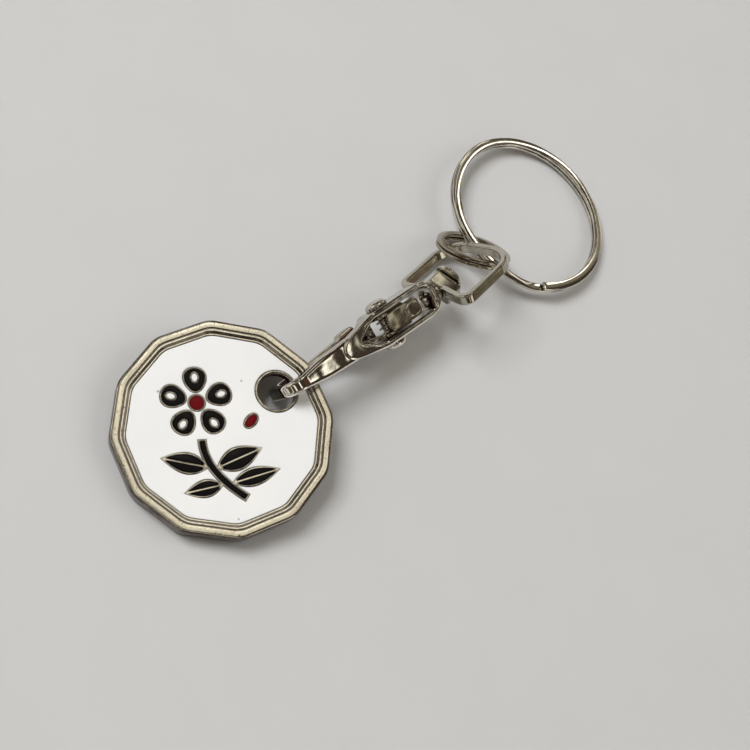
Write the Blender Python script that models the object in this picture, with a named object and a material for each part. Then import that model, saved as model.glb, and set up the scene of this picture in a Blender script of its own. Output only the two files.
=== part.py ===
"""A trolley coin keyring: a 12-sided token hung in a hooked trigger clip with a swivel bail and two split rings.

The chain lies along X, the token at its -X end, resting on its lower edge on the floor. Lengths are metres.
"""

import math

import bmesh
import bpy
import numpy as np
from mathutils import Matrix, Vector

MM = 0.001
DEG = math.pi / 180
CIRCLE = 360 * DEG
HALF_SHARE = 0.5

# Token: the sizes of the coin that it stands in for, and its stepped rim.
COIN_ACROSS = 23.43 * MM
COIN_THICKNESS = 1.9 * MM
COIN_SIDES = 12
COIN_CORNER_RUN = 0.8 * MM
COIN_LEAN = 6 * DEG
RIM_BEVEL = 0.25 * MM
RIM_BEVEL_DROP = 0.2 * MM
RIM_FLAT = 0.55 * MM
RIM_GROOVE = 0.15 * MM
RIM_GROOVE_DEPTH = 0.18 * MM
RIM_LEDGE = 0.2 * MM
RIM_LEDGE_DROP = 0.1 * MM
RIM_WALL = 0.25 * MM
RIM_BORDER = 0.2 * MM
FIELD_DROP = 0.35 * MM
ENAMEL_DROP = 0.4 * MM
POCKET_DROP = 0.85 * MM
GROOVE_SLOPE = 0.03 * MM
HOLE_DIAMETER = 4.0 * MM
HOLE_FROM_RIM = 4.715 * MM
HOLE_OFFSET = COIN_ACROSS / 2 - HOLE_FROM_RIM
HOLE_SIDESTEP = 0.15 * MM
HOLE_CHAMFER = 0.15 * MM
HOLE_COLLAR = 0.35 * MM
METAL_LINE = 0.2 * MM
ENAMEL_SIDE_GAP = 0.04 * MM
ENAMEL_FLOOR_GAP = 0.05 * MM
CUTTER_OVERRUN = 1.0 * MM

# Token artwork: a plain flower with a stem, four leaves and a bud, drawn in shares of the token's width.
ART_TURN = 57 * DEG
ART_SHARE_ACROSS = 23.43
ART_UNIT = COIN_ACROSS / ART_SHARE_ACROSS
FLOWER_PLACE_SHARES = (-2.6, 2.8)
PETALS = 5
PETAL_INNER = ART_UNIT * 1.25
PETAL_OUTER = ART_UNIT * 3.7
PETAL_WIDTH = ART_UNIT * 2.1
PETAL_SKEW_SHARE = 0.25
SPOT_RADIUS = ART_UNIT * 2.75
SPOT_LENGTH = ART_UNIT * 0.9
SPOT_WIDTH = ART_UNIT * 0.6
FLOWER_DISC = ART_UNIT * 1.5
STEM_WIDTH = ART_UNIT * 0.55
STEM_SHARES = ((-2.4, -1.3), (-2.4, -4.5), (1.6, -7.4))
LEAF_SHARES = (
    ((-2.15, -4.05), (-6.6, -2.9), 1.9),
    ((-0.94, -4.12), (3.6, -2.4), 2.1),
    ((0.53, -5.83), (5.3, -4.7), 1.6),
    ((-0.84, -6.0), (-4.5, -6.6), 1.5),
)
LEAF_BULGE_SHARE = 0.85
LEAF_CELL_SHARES = (0.08, 0.9)
BUD_PLACE_SHARES = (2.9, 0.6)
BUD_LENGTH = ART_UNIT * 1.6
BUD_WIDTH = ART_UNIT * 0.9

# Trigger clip, in its own frame: x rearward, y to the left, z to the spine side, origin on the gate's rivet.
# The rivet's place follows from the middle of the token's hole, in which the hook hangs.
CLIP_REACH = 15.08 * MM
CLIP_SIDESTEP = 1.07 * MM
CLIP_LIFT = 0.7 * MM
CLIP_ROLL = 16 * DEG
CLIP_PITCH = 1.5 * DEG
CLIP_YAW = -0.9 * DEG
HOOK_TIP_X = -9.35 * MM
HOOK_FRONT_X = -14.75 * MM
HOOK_PLAY = 1.6 * MM
HOOK_LOW_BEND = 1.45 * MM
HOOK_HIGH_BEND = 1.6 * MM
RETURN_WIDTH = 1.4 * MM
RETURN_THICKNESS = 1.3 * MM
FRONT_THICKNESS = 1.45 * MM
BEAM_Z = 0.98 * MM
BEAM_THICKNESS = 1.46 * MM
HOOK_RETURN_Z = BEAM_Z - (BEAM_THICKNESS + RETURN_THICKNESS) / 2 - COIN_THICKNESS - HOOK_PLAY
BEAM_FRONT_WIDTH = 1.6 * MM
BEAM_REAR_WIDTH = 2.75 * MM
BEAM_END_X = -5.3 * MM
BEAM_TUCK = 0.8 * MM
BEAM_TUCK_INSET = 0.15 * MM
SECTION_ROUNDING = 0.3 * MM
TIP_SHARES = ((0.0, 0.71, 0.73), (0.12, 0.86, 0.88), (0.35, 0.96, 0.97), (0.8, 1.0, 1.0))
# The tip's end and the gate's nose both lean forward at the top, along the nose's way up.
NOSE_SLOPE_SHARE = 0.42
TIP_LEAN_SHARES = (1.0, 1.0, 0.7, 0.2)
NOSE_LEAN_SHARES = (1.0, 1.0, 0.8)
BEAM_SHARES = ((0.4, 0.61), (0.7, 0.82))
FRAME_FRONT_X = -7.6 * MM
FRAME_SIDE_X = -1.7 * MM
FRAME_WIDTH = 4.2 * MM
FRAME_CORNER_X = 4.6 * MM
FRAME_REAR_X = 7.25 * MM
FRAME_TOP_Z = 1.75 * MM
FRAME_FRONT_Z = 0.35 * MM
FRAME_BOTTOM_Z = -1.6 * MM
FRAME_SLOPE_FROM_X = -4.6 * MM
FRAME_SLOPE_TO_X = -1.6 * MM
FRAME_EDGE = 0.22 * MM
FRAME_REAR_POWER = 2.8
FRAME_OUTLINE_SHARES = (
    (0.0, 0.0), (0.04, 0.3), (0.13, 0.5), (0.22, 0.59), (0.335, 0.676),
    (0.47, 0.752), (0.61, 0.819), (0.74, 0.889), (0.847, 0.943), (0.93, 0.985), (1.0, 1.0),
)
WINDOW_FRONT_X = -4.9 * MM
WINDOW_SIDE_X = -1.75 * MM
WINDOW_WIDTH = 2.8 * MM
WINDOW_REAR_X = 6.35 * MM
WINDOW_REAR_POWER = 5.0
WINDOW_OUTLINE_SHARES = (
    (0.0, 0.0), (0.06, 0.2), (0.16, 0.35), (0.25, 0.443), (0.36, 0.56),
    (0.48, 0.68), (0.6, 0.785), (0.7, 0.857), (0.8, 0.93), (0.9, 0.98), (1.0, 1.0),
)
FRAME_STRAIGHTS = 3
FRAME_CORNER_POINTS = 8

# Gate: an arm, two cheeks on the rivet and a thumb pad.
GATE_NOSE_GAP = 0.15 * MM
GATE_NOSE_X = HOOK_TIP_X + GATE_NOSE_GAP
GATE_ARM_END_X = -1.45 * MM
GATE_DEPTH = 1.2 * MM
GATE_SHOULDER = 3.4 * MM
GATE_ARM_SHARES = (
    (0.0, -2.77, -3.48, 0.38), (0.03, -2.69, -3.56, 0.43), (0.08, -2.65, -3.6, 0.44),
    (0.41, -2.19, -3.14, 0.62), (0.54, -1.79, -2.79, 0.72), (0.58, -1.75, -2.75, 0.91),
    (0.72, -1.62, -2.67, 1.0), (0.813, -1.54, -2.46, 1.0), (0.852, -1.48, -2.3, 0.65),
    (0.93, -1.0, -2.0, 0.73), (1.0, -0.5, -1.67, 0.73),
)
GATE_ROUNDING = 0.22 * MM
CHEEK_GAP = 0.1 * MM
CHEEK_THICKNESS = 0.38 * MM
CHEEK_OUTER_Y = WINDOW_WIDTH / 2 - CHEEK_GAP
CHEEK_INNER_Y = CHEEK_OUTER_Y - CHEEK_THICKNESS
HUB_RADIUS = 1.25 * MM
CHEEK_ARM_X = 2.5 * MM
CHEEK_FOOT_X = -1.95 * MM
CHEEK_TOP_Z = 1.16 * MM
PAD_FRONT_X = -0.5 * MM
PAD_REAR_X = 4.4 * MM
PAD_WIDTH = 2.2 * MM
PAD_BOTTOM_Z = 1.05 * MM
PAD_TOP_Z = 1.42 * MM
PAD_CORNER = 0.7 * MM
PAD_EDGE = 0.08 * MM
THUMB_FRONT_X = 2.3 * MM
THUMB_REAR_X = 4.2 * MM
THUMB_WIDTH = 1.7 * MM
THUMB_TOP_Z = 1.68 * MM
THUMB_EDGE = 0.16 * MM

# Rivets and spring.
GATE_RIVET_RADIUS = 0.6 * MM
GATE_RIVET_CLEARANCE = 0.04 * MM
GATE_HUB_CLEARANCE = 0.06 * MM
RIVET_HEAD_RADIUS = 1.3 * MM
RIVET_HEAD_HEIGHT = 0.8 * MM
RIVET_SEAT_GAP = 0.03 * MM
RIVET_SEAT_Y = FRAME_WIDTH / 2 + RIVET_SEAT_GAP
DOME_SHARES = ((1.0, 0.0), (1.0, 0.3), (0.93, 0.58), (0.74, 0.83), (0.42, 0.96))
SPRING_WIRE = 0.24 * MM
SPRING_PLAY = 0.12 * MM
SPRING_RADIUS = GATE_RIVET_RADIUS + SPRING_PLAY + SPRING_WIRE / 2
SPRING_TURNS = 2
SPRING_TURN_POINTS = 10
SPRING_PITCH = 0.71 * MM
SPRING_REAR_X = 2.2 * MM
SPRING_FRONT_X = -5.2 * MM
SPRING_FRONT_Z = 0.12 * MM
SPRING_LEAVE = 98 * DEG

# Swivel, in its own frame: x outward along the loose rivet, which rests tilted in the frame's end wall.
SWIVEL_X = (FRAME_REAR_X + WINDOW_REAR_X) / 2
SWIVEL_SIDESTEP = 0.25 * MM
SWIVEL_RISE = 0.04 * MM
SWIVEL_BORE = 1.68 * MM
SWIVEL_WALL = FRAME_REAR_X - WINDOW_REAR_X
SHANK_RADIUS = 0.45 * MM
SHANK_CLEARANCE = 0.05 * MM
INNER_HEAD_RADIUS = 0.75 * MM
INNER_HEAD_GAP = 0.25 * MM
INNER_HEAD_SEAT = -SWIVEL_WALL / 2 - INNER_HEAD_GAP
INNER_HEAD_HEIGHT = 0.7 * MM
COLLAR_RADIUS = 1.1 * MM
COLLAR_GAP = 0.26 * MM
COLLAR_LENGTH = 0.47 * MM
COLLAR_FROM = SWIVEL_WALL / 2 + COLLAR_GAP
COLLAR_TO = COLLAR_FROM + COLLAR_LENGTH
COLLAR_EDGE = 0.1 * MM
BOSS_GAP = 0.12 * MM
BOSS_FROM = COLLAR_TO + BOSS_GAP
BOSS_LENGTH = 2.2 * MM
BOSS_WIDTH = 3.5 * MM
BOSS_DEPTH = 1.9 * MM
BOSS_ROLL = 29.5 * DEG
BOSS_SIDESTEP = 0.35 * MM
BOSS_ROUNDING = 0.45 * MM
BOSS_EDGE = 0.2 * MM
BOSS_TO = BOSS_FROM + BOSS_LENGTH
OUTER_HEAD_RADIUS = 1.8 * MM
OUTER_HEAD_GAP = 0.05 * MM
OUTER_HEAD_HEIGHT = 0.8 * MM
OUTER_HEAD_SEAT = BOSS_TO + OUTER_HEAD_GAP

# Bail, in the swivel's frame: a strip stood on edge, straight at its base and arched at its far end.
BAIL_ROLL = -49.57 * DEG
BAIL_PITCH = 0.0 * DEG
BAIL_YAW = 5.7 * DEG
BAIL_BASE_X = 0.62 * MM
BAIL_LENGTH = 10.13 * MM
BAIL_SIDESTEP = -0.12 * MM
BAIL_DROP = 0.08 * MM
BAIL_WIDTH = 10.7 * MM
BAIL_STRIP = 0.8 * MM
BAIL_DEPTH = 1.3 * MM
BAIL_FAR_X = BAIL_BASE_X + BAIL_LENGTH - BAIL_STRIP / 2
BAIL_BASE_CORNER = 0.9 * MM
BAIL_FAR_CORNER = 3.4 * MM
BAIL_ARCH = 0.9 * MM
BAIL_ROUNDING = 0.22 * MM
BAIL_CORNER_POINTS = 7
BAIL_BASE_POINTS = 10

# Split rings: each one strip wound nearly twice round, from its upper layer by a crank to its lower.
RING_CRANK_FROM = 325 * DEG
RING_CRANK_TO = 355 * DEG
RING_END = 683 * DEG
SMALL_RING_RADIUS = 4.57 * MM
SMALL_RING_WIDTH = 0.95 * MM
SMALL_RING_HEIGHT = 1.05 * MM
SMALL_RING_GAP = 0.06 * MM
SMALL_RING_ROUNDING = 0.14 * MM
SMALL_RING_STEPS = 44
SMALL_RING_PHASE = 230 * DEG
SMALL_RING_FROM_BAR = Vector((-0.221 * MM, 0.6 * MM, -1.12 * MM))
SMALL_RING_AZIMUTH = 47.8 * DEG
SMALL_RING_ELEVATION = 40.3 * DEG
LARGE_RING_RADIUS = 10.78 * MM
LARGE_RING_WIDTH = 1.16 * MM
LARGE_RING_HEIGHT = 1.0 * MM
LARGE_RING_GAP = 0.08 * MM
LARGE_RING_ROUNDING = 0.16 * MM
LARGE_RING_STEPS = 56
LARGE_RING_PHASE = 246.5 * DEG
LARGE_RING_LEAD = 0.887 * MM
LARGE_LEAD_AZIMUTH = -0.17 * DEG
LARGE_LEAD_DROP = 8.49 * DEG
LARGE_RING_AZIMUTH = -11.4 * DEG
LARGE_RING_ELEVATION = 4.64 * DEG
SMALL_HINGE_Y = 0.0 * MM
LARGE_HINGE_ANGLE = 176.5 * DEG

SMOOTH_ANGLE = 38 * DEG
BRIGHT = (0.83, 0.81, 0.77)
GATE_STEEL = (0.72, 0.70, 0.67)
SPRING_STEEL = (0.55, 0.54, 0.52)
WHITE = (0.92, 0.92, 0.90)
BLACK = (0.012, 0.012, 0.013)
RED = (0.14, 0.003, 0.006)

worlds = {}


def material(name, colour, metallic, roughness):
    """A material of its own for one node."""
    made = bpy.data.materials.new(name + "_material")
    made.use_nodes = True
    shader = made.node_tree.nodes["Principled BSDF"]
    shader.inputs["Base Color"].default_value = (*colour, 1.0)
    shader.inputs["Metallic"].default_value = metallic
    shader.inputs["Roughness"].default_value = roughness
    made.diffuse_color = (*colour, 1.0)
    return made


def metal(name, colour=BRIGHT, roughness=0.18):
    return material(name, colour, 1.0, roughness)


def enamel(name, colour):
    return material(name, colour, 0.0, 0.12)


def solid(name, points, faces):
    """A mesh object of the points and faces, its faces turned outward."""
    mesh = bpy.data.meshes.new(name)
    mesh.from_pydata([tuple(point) for point in points], [], faces)
    shape = bmesh.new()
    shape.from_mesh(mesh)
    bmesh.ops.recalc_face_normals(shape, faces=shape.faces)
    shape.to_mesh(mesh)
    shape.free()
    made = bpy.data.objects.new(name, mesh)
    bpy.context.scene.collection.objects.link(made)
    return made


def loft(name, loops, closed=False):
    """A skin over loops of equal counts, capped at both ends or closed on itself."""
    count = len(loops[0])
    points = [point for loop in loops for point in loop]
    faces = []
    spans = len(loops) if closed else len(loops) - 1
    for i in range(spans):
        low = i * count
        high = (i + 1) % len(loops) * count
        for j in range(count):
            k = (j + 1) % count
            faces.append((low + j, low + k, high + k, high + j))
    if not closed:
        faces.append(tuple(range(count)))
        faces.append(tuple(range(len(points) - count, len(points))))
    return solid(name, points, faces)


def prism(name, outline, low, high):
    """An outline in the XY plane, raised from low to high."""
    return loft(name, [[(x, y, z) for x, y in outline] for z in (low, high)])


def turned(name, profile, steps, turn=Matrix.Identity(3)):
    """A profile of (along, radius) turned about x, with a point at each end, then turned by a matrix."""
    points = [turn @ Vector((profile[0][0], 0, 0))]
    for along, radius in profile[1:-1]:
        for i in range(steps):
            angle = CIRCLE * i / steps
            points.append(turn @ Vector((along, radius * math.cos(angle), radius * math.sin(angle))))
    points.append(turn @ Vector((profile[-1][0], 0, 0)))
    faces = []
    last = len(points) - 1
    for i in range(steps):
        j = (i + 1) % steps
        faces.append((0, 1 + i, 1 + j))
        faces.append((last, last - steps + i, last - steps + j))
        for row in range(len(profile) - 3):
            low = 1 + row * steps
            faces.append((low + i, low + j, low + steps + j, low + steps + i))
    return solid(name, points, faces)


def combine(target, tool, operation):
    """Cuts, joins or crosses the target with a tool, which is used up."""
    tool.hide_render = True
    tool.display_type = "WIRE"
    step = target.modifiers.new(operation.lower(), "BOOLEAN")
    step.operation = operation
    step.solver = "EXACT"
    step.object = tool
    bpy.context.view_layer.update()
    graph = bpy.context.evaluated_depsgraph_get()
    made = bpy.data.meshes.new_from_object(target.evaluated_get(graph))
    target.modifiers.clear()
    used = target.data
    target.data = made
    bpy.data.meshes.remove(used)
    bpy.data.objects.remove(tool)
    return target


def cut(target, tool):
    return combine(target, tool, "DIFFERENCE")


def join(target, tool):
    return combine(target, tool, "UNION")


def gathered(name, objects):
    """Separate bodies as one mesh, for a tool that cuts with all of them."""
    shape = bmesh.new()
    for item in objects:
        shape.from_mesh(item.data)
        bpy.data.objects.remove(item)
    mesh = bpy.data.meshes.new(name)
    shape.to_mesh(mesh)
    shape.free()
    made = bpy.data.objects.new(name, mesh)
    bpy.context.scene.collection.objects.link(made)
    return made


def pivot(name, parent, world):
    """An empty at a world place and turn."""
    made = bpy.data.objects.new(name, None)
    bpy.context.scene.collection.objects.link(made)
    worlds[name] = world
    hang(made, parent, world)
    return made


def hang(child, parent, world):
    """Parents a child and gives it a world place and turn."""
    child.parent = parent
    above = worlds[parent.name] if parent else Matrix.Identity(4)
    child.matrix_basis = above.inverted() @ world
    worlds[child.name] = world


def finish(child, parent, world, look):
    """Hangs a node, gives it its material and shades it smooth."""
    child.data.materials.clear()
    child.data.materials.append(look)
    child.data.shade_smooth()
    child.data.set_sharp_from_angle(angle=SMOOTH_ANGLE)
    hang(child, parent, world)
    return child


def rounded(width, height, radius, corner_points=3):
    """A rounded rectangle round the origin, as (across, up) points."""
    points = []
    for corner, (sx, sy) in enumerate(((1, 1), (-1, 1), (-1, -1), (1, -1))):
        for i in range(corner_points):
            angle = (corner + i / (corner_points - 1)) * CIRCLE / 4
            across = sx * (width / 2 - radius) + radius * math.cos(angle)
            points.append((across, sy * (height / 2 - radius) + radius * math.sin(angle)))
    return points


def moved_out(outline, distance):
    """A closed outline, moved outward by a distance along its normals."""
    points = np.array(outline)
    along = np.roll(points, -1, 0) - points
    normals = np.stack([along[:, 1], -along[:, 0]], 1)
    normals /= np.linalg.norm(normals, axis=1)[:, None]
    area = np.sum(points[:, 0] * np.roll(points[:, 1], -1) - points[:, 1] * np.roll(points[:, 0], -1))
    mean = normals + np.roll(normals, 1, 0)
    mean /= np.linalg.norm(mean, axis=1)[:, None]
    reach = 1 / np.maximum(np.sum(mean * normals, 1), np.cos(CIRCLE / 7))
    return [tuple(p) for p in points + np.sign(area) * distance * mean * reach[:, None]]


def artwork(u, v):
    """A place in the artwork's upright frame as a place on the token."""
    return (
        u * math.sin(ART_TURN) + v * math.cos(ART_TURN),
        v * math.sin(ART_TURN) - u * math.cos(ART_TURN),
    )


def oval(centre, length, width, turn, count):
    """An ellipse in the artwork's frame, its length at a turn from the frame's first axis."""
    points = []
    for i in range(count):
        angle = CIRCLE * i / count
        a = length / 2 * math.cos(angle)
        b = width / 2 * math.sin(angle)
        u = centre[0] + a * math.cos(turn) - b * math.sin(turn)
        v = centre[1] + a * math.sin(turn) + b * math.cos(turn)
        points.append(artwork(u, v))
    return points


def flower_place():
    return [share * ART_UNIT for share in FLOWER_PLACE_SHARES]


def petal_turn(index):
    return CIRCLE / 4 + CIRCLE * index / PETALS


def petal(index, count=20):
    """The outline of one petal."""
    centre = flower_place()
    turn = petal_turn(index)
    points = []
    for i in range(count):
        t = CIRCLE * i / count
        radius = PETAL_INNER + (PETAL_OUTER - PETAL_INNER) * (1 - math.cos(t)) / 2
        side = -PETAL_WIDTH / 2 * math.sin(t) * (1 - PETAL_SKEW_SHARE * math.cos(t))
        u = centre[0] + radius * math.cos(turn) - side * math.sin(turn)
        v = centre[1] + radius * math.sin(turn) + side * math.cos(turn)
        points.append(artwork(u, v))
    return points


def spot(index, count=12):
    """The outline of the spot in one petal."""
    centre = flower_place()
    turn = petal_turn(index)
    u = centre[0] + SPOT_RADIUS * math.cos(turn)
    v = centre[1] + SPOT_RADIUS * math.sin(turn)
    return oval((u, v), SPOT_LENGTH, SPOT_WIDTH, turn, count)


def stem(grow, count=9):
    """The outline of the curved stem, grown on all sides."""
    ends = [np.array(place) * ART_UNIT for place in STEM_SHARES]
    left, right = [], []
    for i in range(count):
        t = i / (count - 1)
        middle = (1 - t) ** 2 * ends[0] + 2 * t * (1 - t) * ends[1] + t ** 2 * ends[2]
        along = (1 - t) * (ends[1] - ends[0]) + t * (ends[2] - ends[1])
        along /= np.linalg.norm(along)
        if i in (0, count - 1):
            middle = middle + along * grow * (1 if i else -1)
        side = np.array([-along[1], along[0]]) * (STEM_WIDTH / 2 + grow)
        left.append(artwork(*(middle + side)))
        right.append(artwork(*(middle - side)))
    return right + left[::-1]


def leaf_point(leaf, s, side, grow):
    """A point of a leaf at a share of its length, off its midrib to one side."""
    base, tip = (np.array(place) * ART_UNIT for place in leaf[:2])
    along = tip - base
    length = np.linalg.norm(along)
    along /= length
    across = np.array([-along[1], along[0]])
    place = base + along * (s * (length + 2 * grow) - grow)
    return artwork(*(place + across * side))


def leaf_half_width(leaf, s, grow):
    bulge = max(math.sin(CIRCLE / 2 * s ** LEAF_BULGE_SHARE), 0)
    return (leaf[2] * ART_UNIT / 2 + grow) * bulge


def leaf_island(leaf, grow, count=12):
    """The whole outline of a leaf, grown on all sides."""
    points = []
    for i in range(count):
        s = i / count
        points.append(leaf_point(leaf, s, -leaf_half_width(leaf, s, grow), grow))
    for i in range(count):
        s = 1 - i / count
        points.append(leaf_point(leaf, s, leaf_half_width(leaf, s, grow), grow))
    return points


def leaf_cell(leaf, side, count=9):
    """The outline of one half of a leaf, beside its midrib."""
    first, last = LEAF_CELL_SHARES
    edge, rib = [], []
    for i in range(count):
        s = first + (last - first) * i / (count - 1)
        edge.append(leaf_point(leaf, s, side * leaf_half_width(leaf, s, 0), 0))
        if i in (0, count // 2, count - 1):
            rib.append(leaf_point(leaf, s, side * METAL_LINE / 2, 0))
    points = edge + rib[::-1]
    return points[::-1] if side > 0 else points


def bud(count=16):
    return oval([share * ART_UNIT for share in BUD_PLACE_SHARES], BUD_LENGTH, BUD_WIDTH, CIRCLE / 8, count)


def disc(count=16):
    return oval(flower_place(), FLOWER_DISC, FLOWER_DISC, 0, count)


def hole_ring(grow, count=32):
    radius = HOLE_DIAMETER / 2 + HOLE_COLLAR + grow
    points = []
    for i in range(count):
        angle = CIRCLE * i / count
        points.append((HOLE_OFFSET + radius * math.cos(angle), HOLE_SIDESTEP * -1 + radius * math.sin(angle)))
    return points


def coin_outline(inset):
    """The token's rounded 12-sided outline, moved inward."""
    corner_share = (1 - math.cos(CIRCLE / COIN_SIDES)) / 2
    sharp = COIN_ACROSS / 2 + COIN_CORNER_RUN / 2 * math.sin(CIRCLE / COIN_SIDES / 2)
    flat = sharp * math.cos(CIRCLE / COIN_SIDES / 2)
    scale = (flat - inset) / flat
    corners = []
    for i in range(COIN_SIDES):
        angle = CIRCLE * i / COIN_SIDES
        corners.append(Vector((sharp * math.cos(angle), sharp * math.sin(angle))))
    points = []
    for i, corner in enumerate(corners):
        before = corner + (corners[i - 1] - corner).normalized() * COIN_CORNER_RUN
        after = corner + (corners[(i + 1) % COIN_SIDES] - corner).normalized() * COIN_CORNER_RUN
        middle = (before + after) / 4 + corner / 2
        points += [before, middle, after]
    return [(point.x * scale, point.y * scale) for point in points]


def rim_profile():
    """The steps from the sunk field to the token's side, as (inset, drop from the face)."""
    flat = RIM_BEVEL + RIM_FLAT
    groove = flat + RIM_GROOVE
    ledge = groove + RIM_LEDGE
    return [
        (ledge + RIM_WALL, FIELD_DROP),
        (ledge, RIM_LEDGE_DROP),
        (groove, RIM_LEDGE_DROP),
        (groove - GROOVE_SLOPE, RIM_GROOVE_DEPTH),
        (flat + GROOVE_SLOPE, RIM_GROOVE_DEPTH),
        (flat, 0),
        (RIM_BEVEL, 0),
        (RIM_BEVEL / 3, RIM_BEVEL_DROP / 4),
        (0, RIM_BEVEL_DROP),
    ]


def field_outline(inset):
    return coin_outline(RIM_BEVEL + RIM_FLAT + RIM_GROOVE + RIM_LEDGE + RIM_WALL + RIM_BORDER + inset)


def islands(grow, low, high):
    """The raised shapes in the field, grown, as two tools: the separate ones, then the leaves."""
    first = [prism("island", hole_ring(grow), low, high)]
    line = METAL_LINE + grow
    first.append(prism("island", moved_out(disc(), line), low, high))
    first.append(prism("island", moved_out(bud(), line), low, high))
    first.append(prism("island", stem(line), low, high))
    for i in range(PETALS):
        first.append(prism("island", moved_out(petal(i), line), low, high))
    second = [prism("island", leaf_island(leaf, line), low, high) for leaf in LEAF_SHARES]
    return gathered("islands", first), gathered("leaf_islands", second)


def cells():
    """Each small enamel cell as (name, outline, outline of an island inside it, colour)."""
    found = []
    for i in range(PETALS):
        found.append((f"enamel_petal_{i + 1}", petal(i), spot(i), BLACK))
    for i in range(PETALS):
        found.append((f"enamel_spot_{i + 1}", spot(i), None, WHITE))
    found.append(("enamel_flower_disc", disc(), None, RED))
    found.append(("enamel_stem", stem(0), None, BLACK))
    for i, leaf in enumerate(LEAF_SHARES):
        for side, word in ((1, "left"), (-1, "right")):
            found.append((f"enamel_leaf_{i + 1}_{word}", leaf_cell(leaf, side), None, BLACK))
    found.append(("enamel_bud", bud(), None, RED))
    return found


def hole_tool(count=32):
    """The hole's cutter, with a chamfer at both fields."""
    radius = HOLE_DIAMETER / 2
    wide = radius + HOLE_CHAMFER + CUTTER_OVERRUN
    levels = [
        (FIELD_DROP - CUTTER_OVERRUN, wide),
        (FIELD_DROP + HOLE_CHAMFER, radius),
        (COIN_THICKNESS - FIELD_DROP - HOLE_CHAMFER, radius),
        (COIN_THICKNESS - FIELD_DROP + CUTTER_OVERRUN, wide),
    ]
    loops = []
    for z, size in levels:
        ring = [(CIRCLE * i / count) for i in range(count)]
        loops.append([(HOLE_OFFSET + size * math.cos(a), size * math.sin(a) - HOLE_SIDESTEP, z) for a in ring])
    return loft("hole_tool", loops)


def coin_body():
    """The token's metal, with its pockets for the enamel."""
    back = [[(x, y, drop) for x, y in coin_outline(inset)] for inset, drop in rim_profile()]
    front = []
    for inset, drop in rim_profile()[::-1]:
        front.append([(x, y, COIN_THICKNESS - drop) for x, y in coin_outline(inset)])
    body = loft("coin_body", back + front)
    floor = COIN_THICKNESS - POCKET_DROP
    top = COIN_THICKNESS + CUTTER_OVERRUN
    pocket = prism("field_tool", field_outline(0), floor, top)
    for tool in islands(0, floor - CUTTER_OVERRUN, top + CUTTER_OVERRUN):
        pocket = cut(pocket, tool)
    body = cut(body, pocket)
    tools = []
    for name, outline, inner, _ in cells():
        tool = prism(name + "_tool", outline, floor, top)
        if inner:
            island = prism("island", moved_out(inner, METAL_LINE), floor - CUTTER_OVERRUN, top + CUTTER_OVERRUN)
            tool = cut(tool, island)
        tools.append(tool)
    body = cut(body, gathered("cell_tools", tools))
    return cut(body, hole_tool())


def enamel_pieces():
    """Each fill of enamel as (object, colour)."""
    low = COIN_THICKNESS - POCKET_DROP + ENAMEL_FLOOR_GAP
    high = COIN_THICKNESS - ENAMEL_DROP
    field = prism("enamel_field", field_outline(ENAMEL_SIDE_GAP), low, high)
    for tool in islands(ENAMEL_SIDE_GAP, low - CUTTER_OVERRUN, high + CUTTER_OVERRUN):
        field = cut(field, tool)
    made = [(field, WHITE)]
    for name, outline, inner, colour in cells():
        piece = prism(name, moved_out(outline, -ENAMEL_SIDE_GAP), low, high)
        if inner:
            grown = moved_out(inner, METAL_LINE + ENAMEL_SIDE_GAP)
            piece = cut(piece, prism("island", grown, low - CUTTER_OVERRUN, high + CUTTER_OVERRUN))
        made.append((piece, colour))
    return made


def spine_loop(x, z, turn, width, thickness):
    """A section across the hook's spine, where the spine heads at a turn in the XZ plane."""
    radius = min(SECTION_ROUNDING, thickness * HALF_SHARE * 0.8)
    loop = []
    for across, up in rounded(width, thickness, radius):
        loop.append((x - up * math.sin(turn), across, z + up * math.cos(turn)))
    return loop


def leaned(loop, level, lean):
    """A loop leaned forward with height above a level."""
    return [(x - NOSE_SLOPE_SHARE * lean * (z - level), y, z) for x, y, z in loop]


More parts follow.
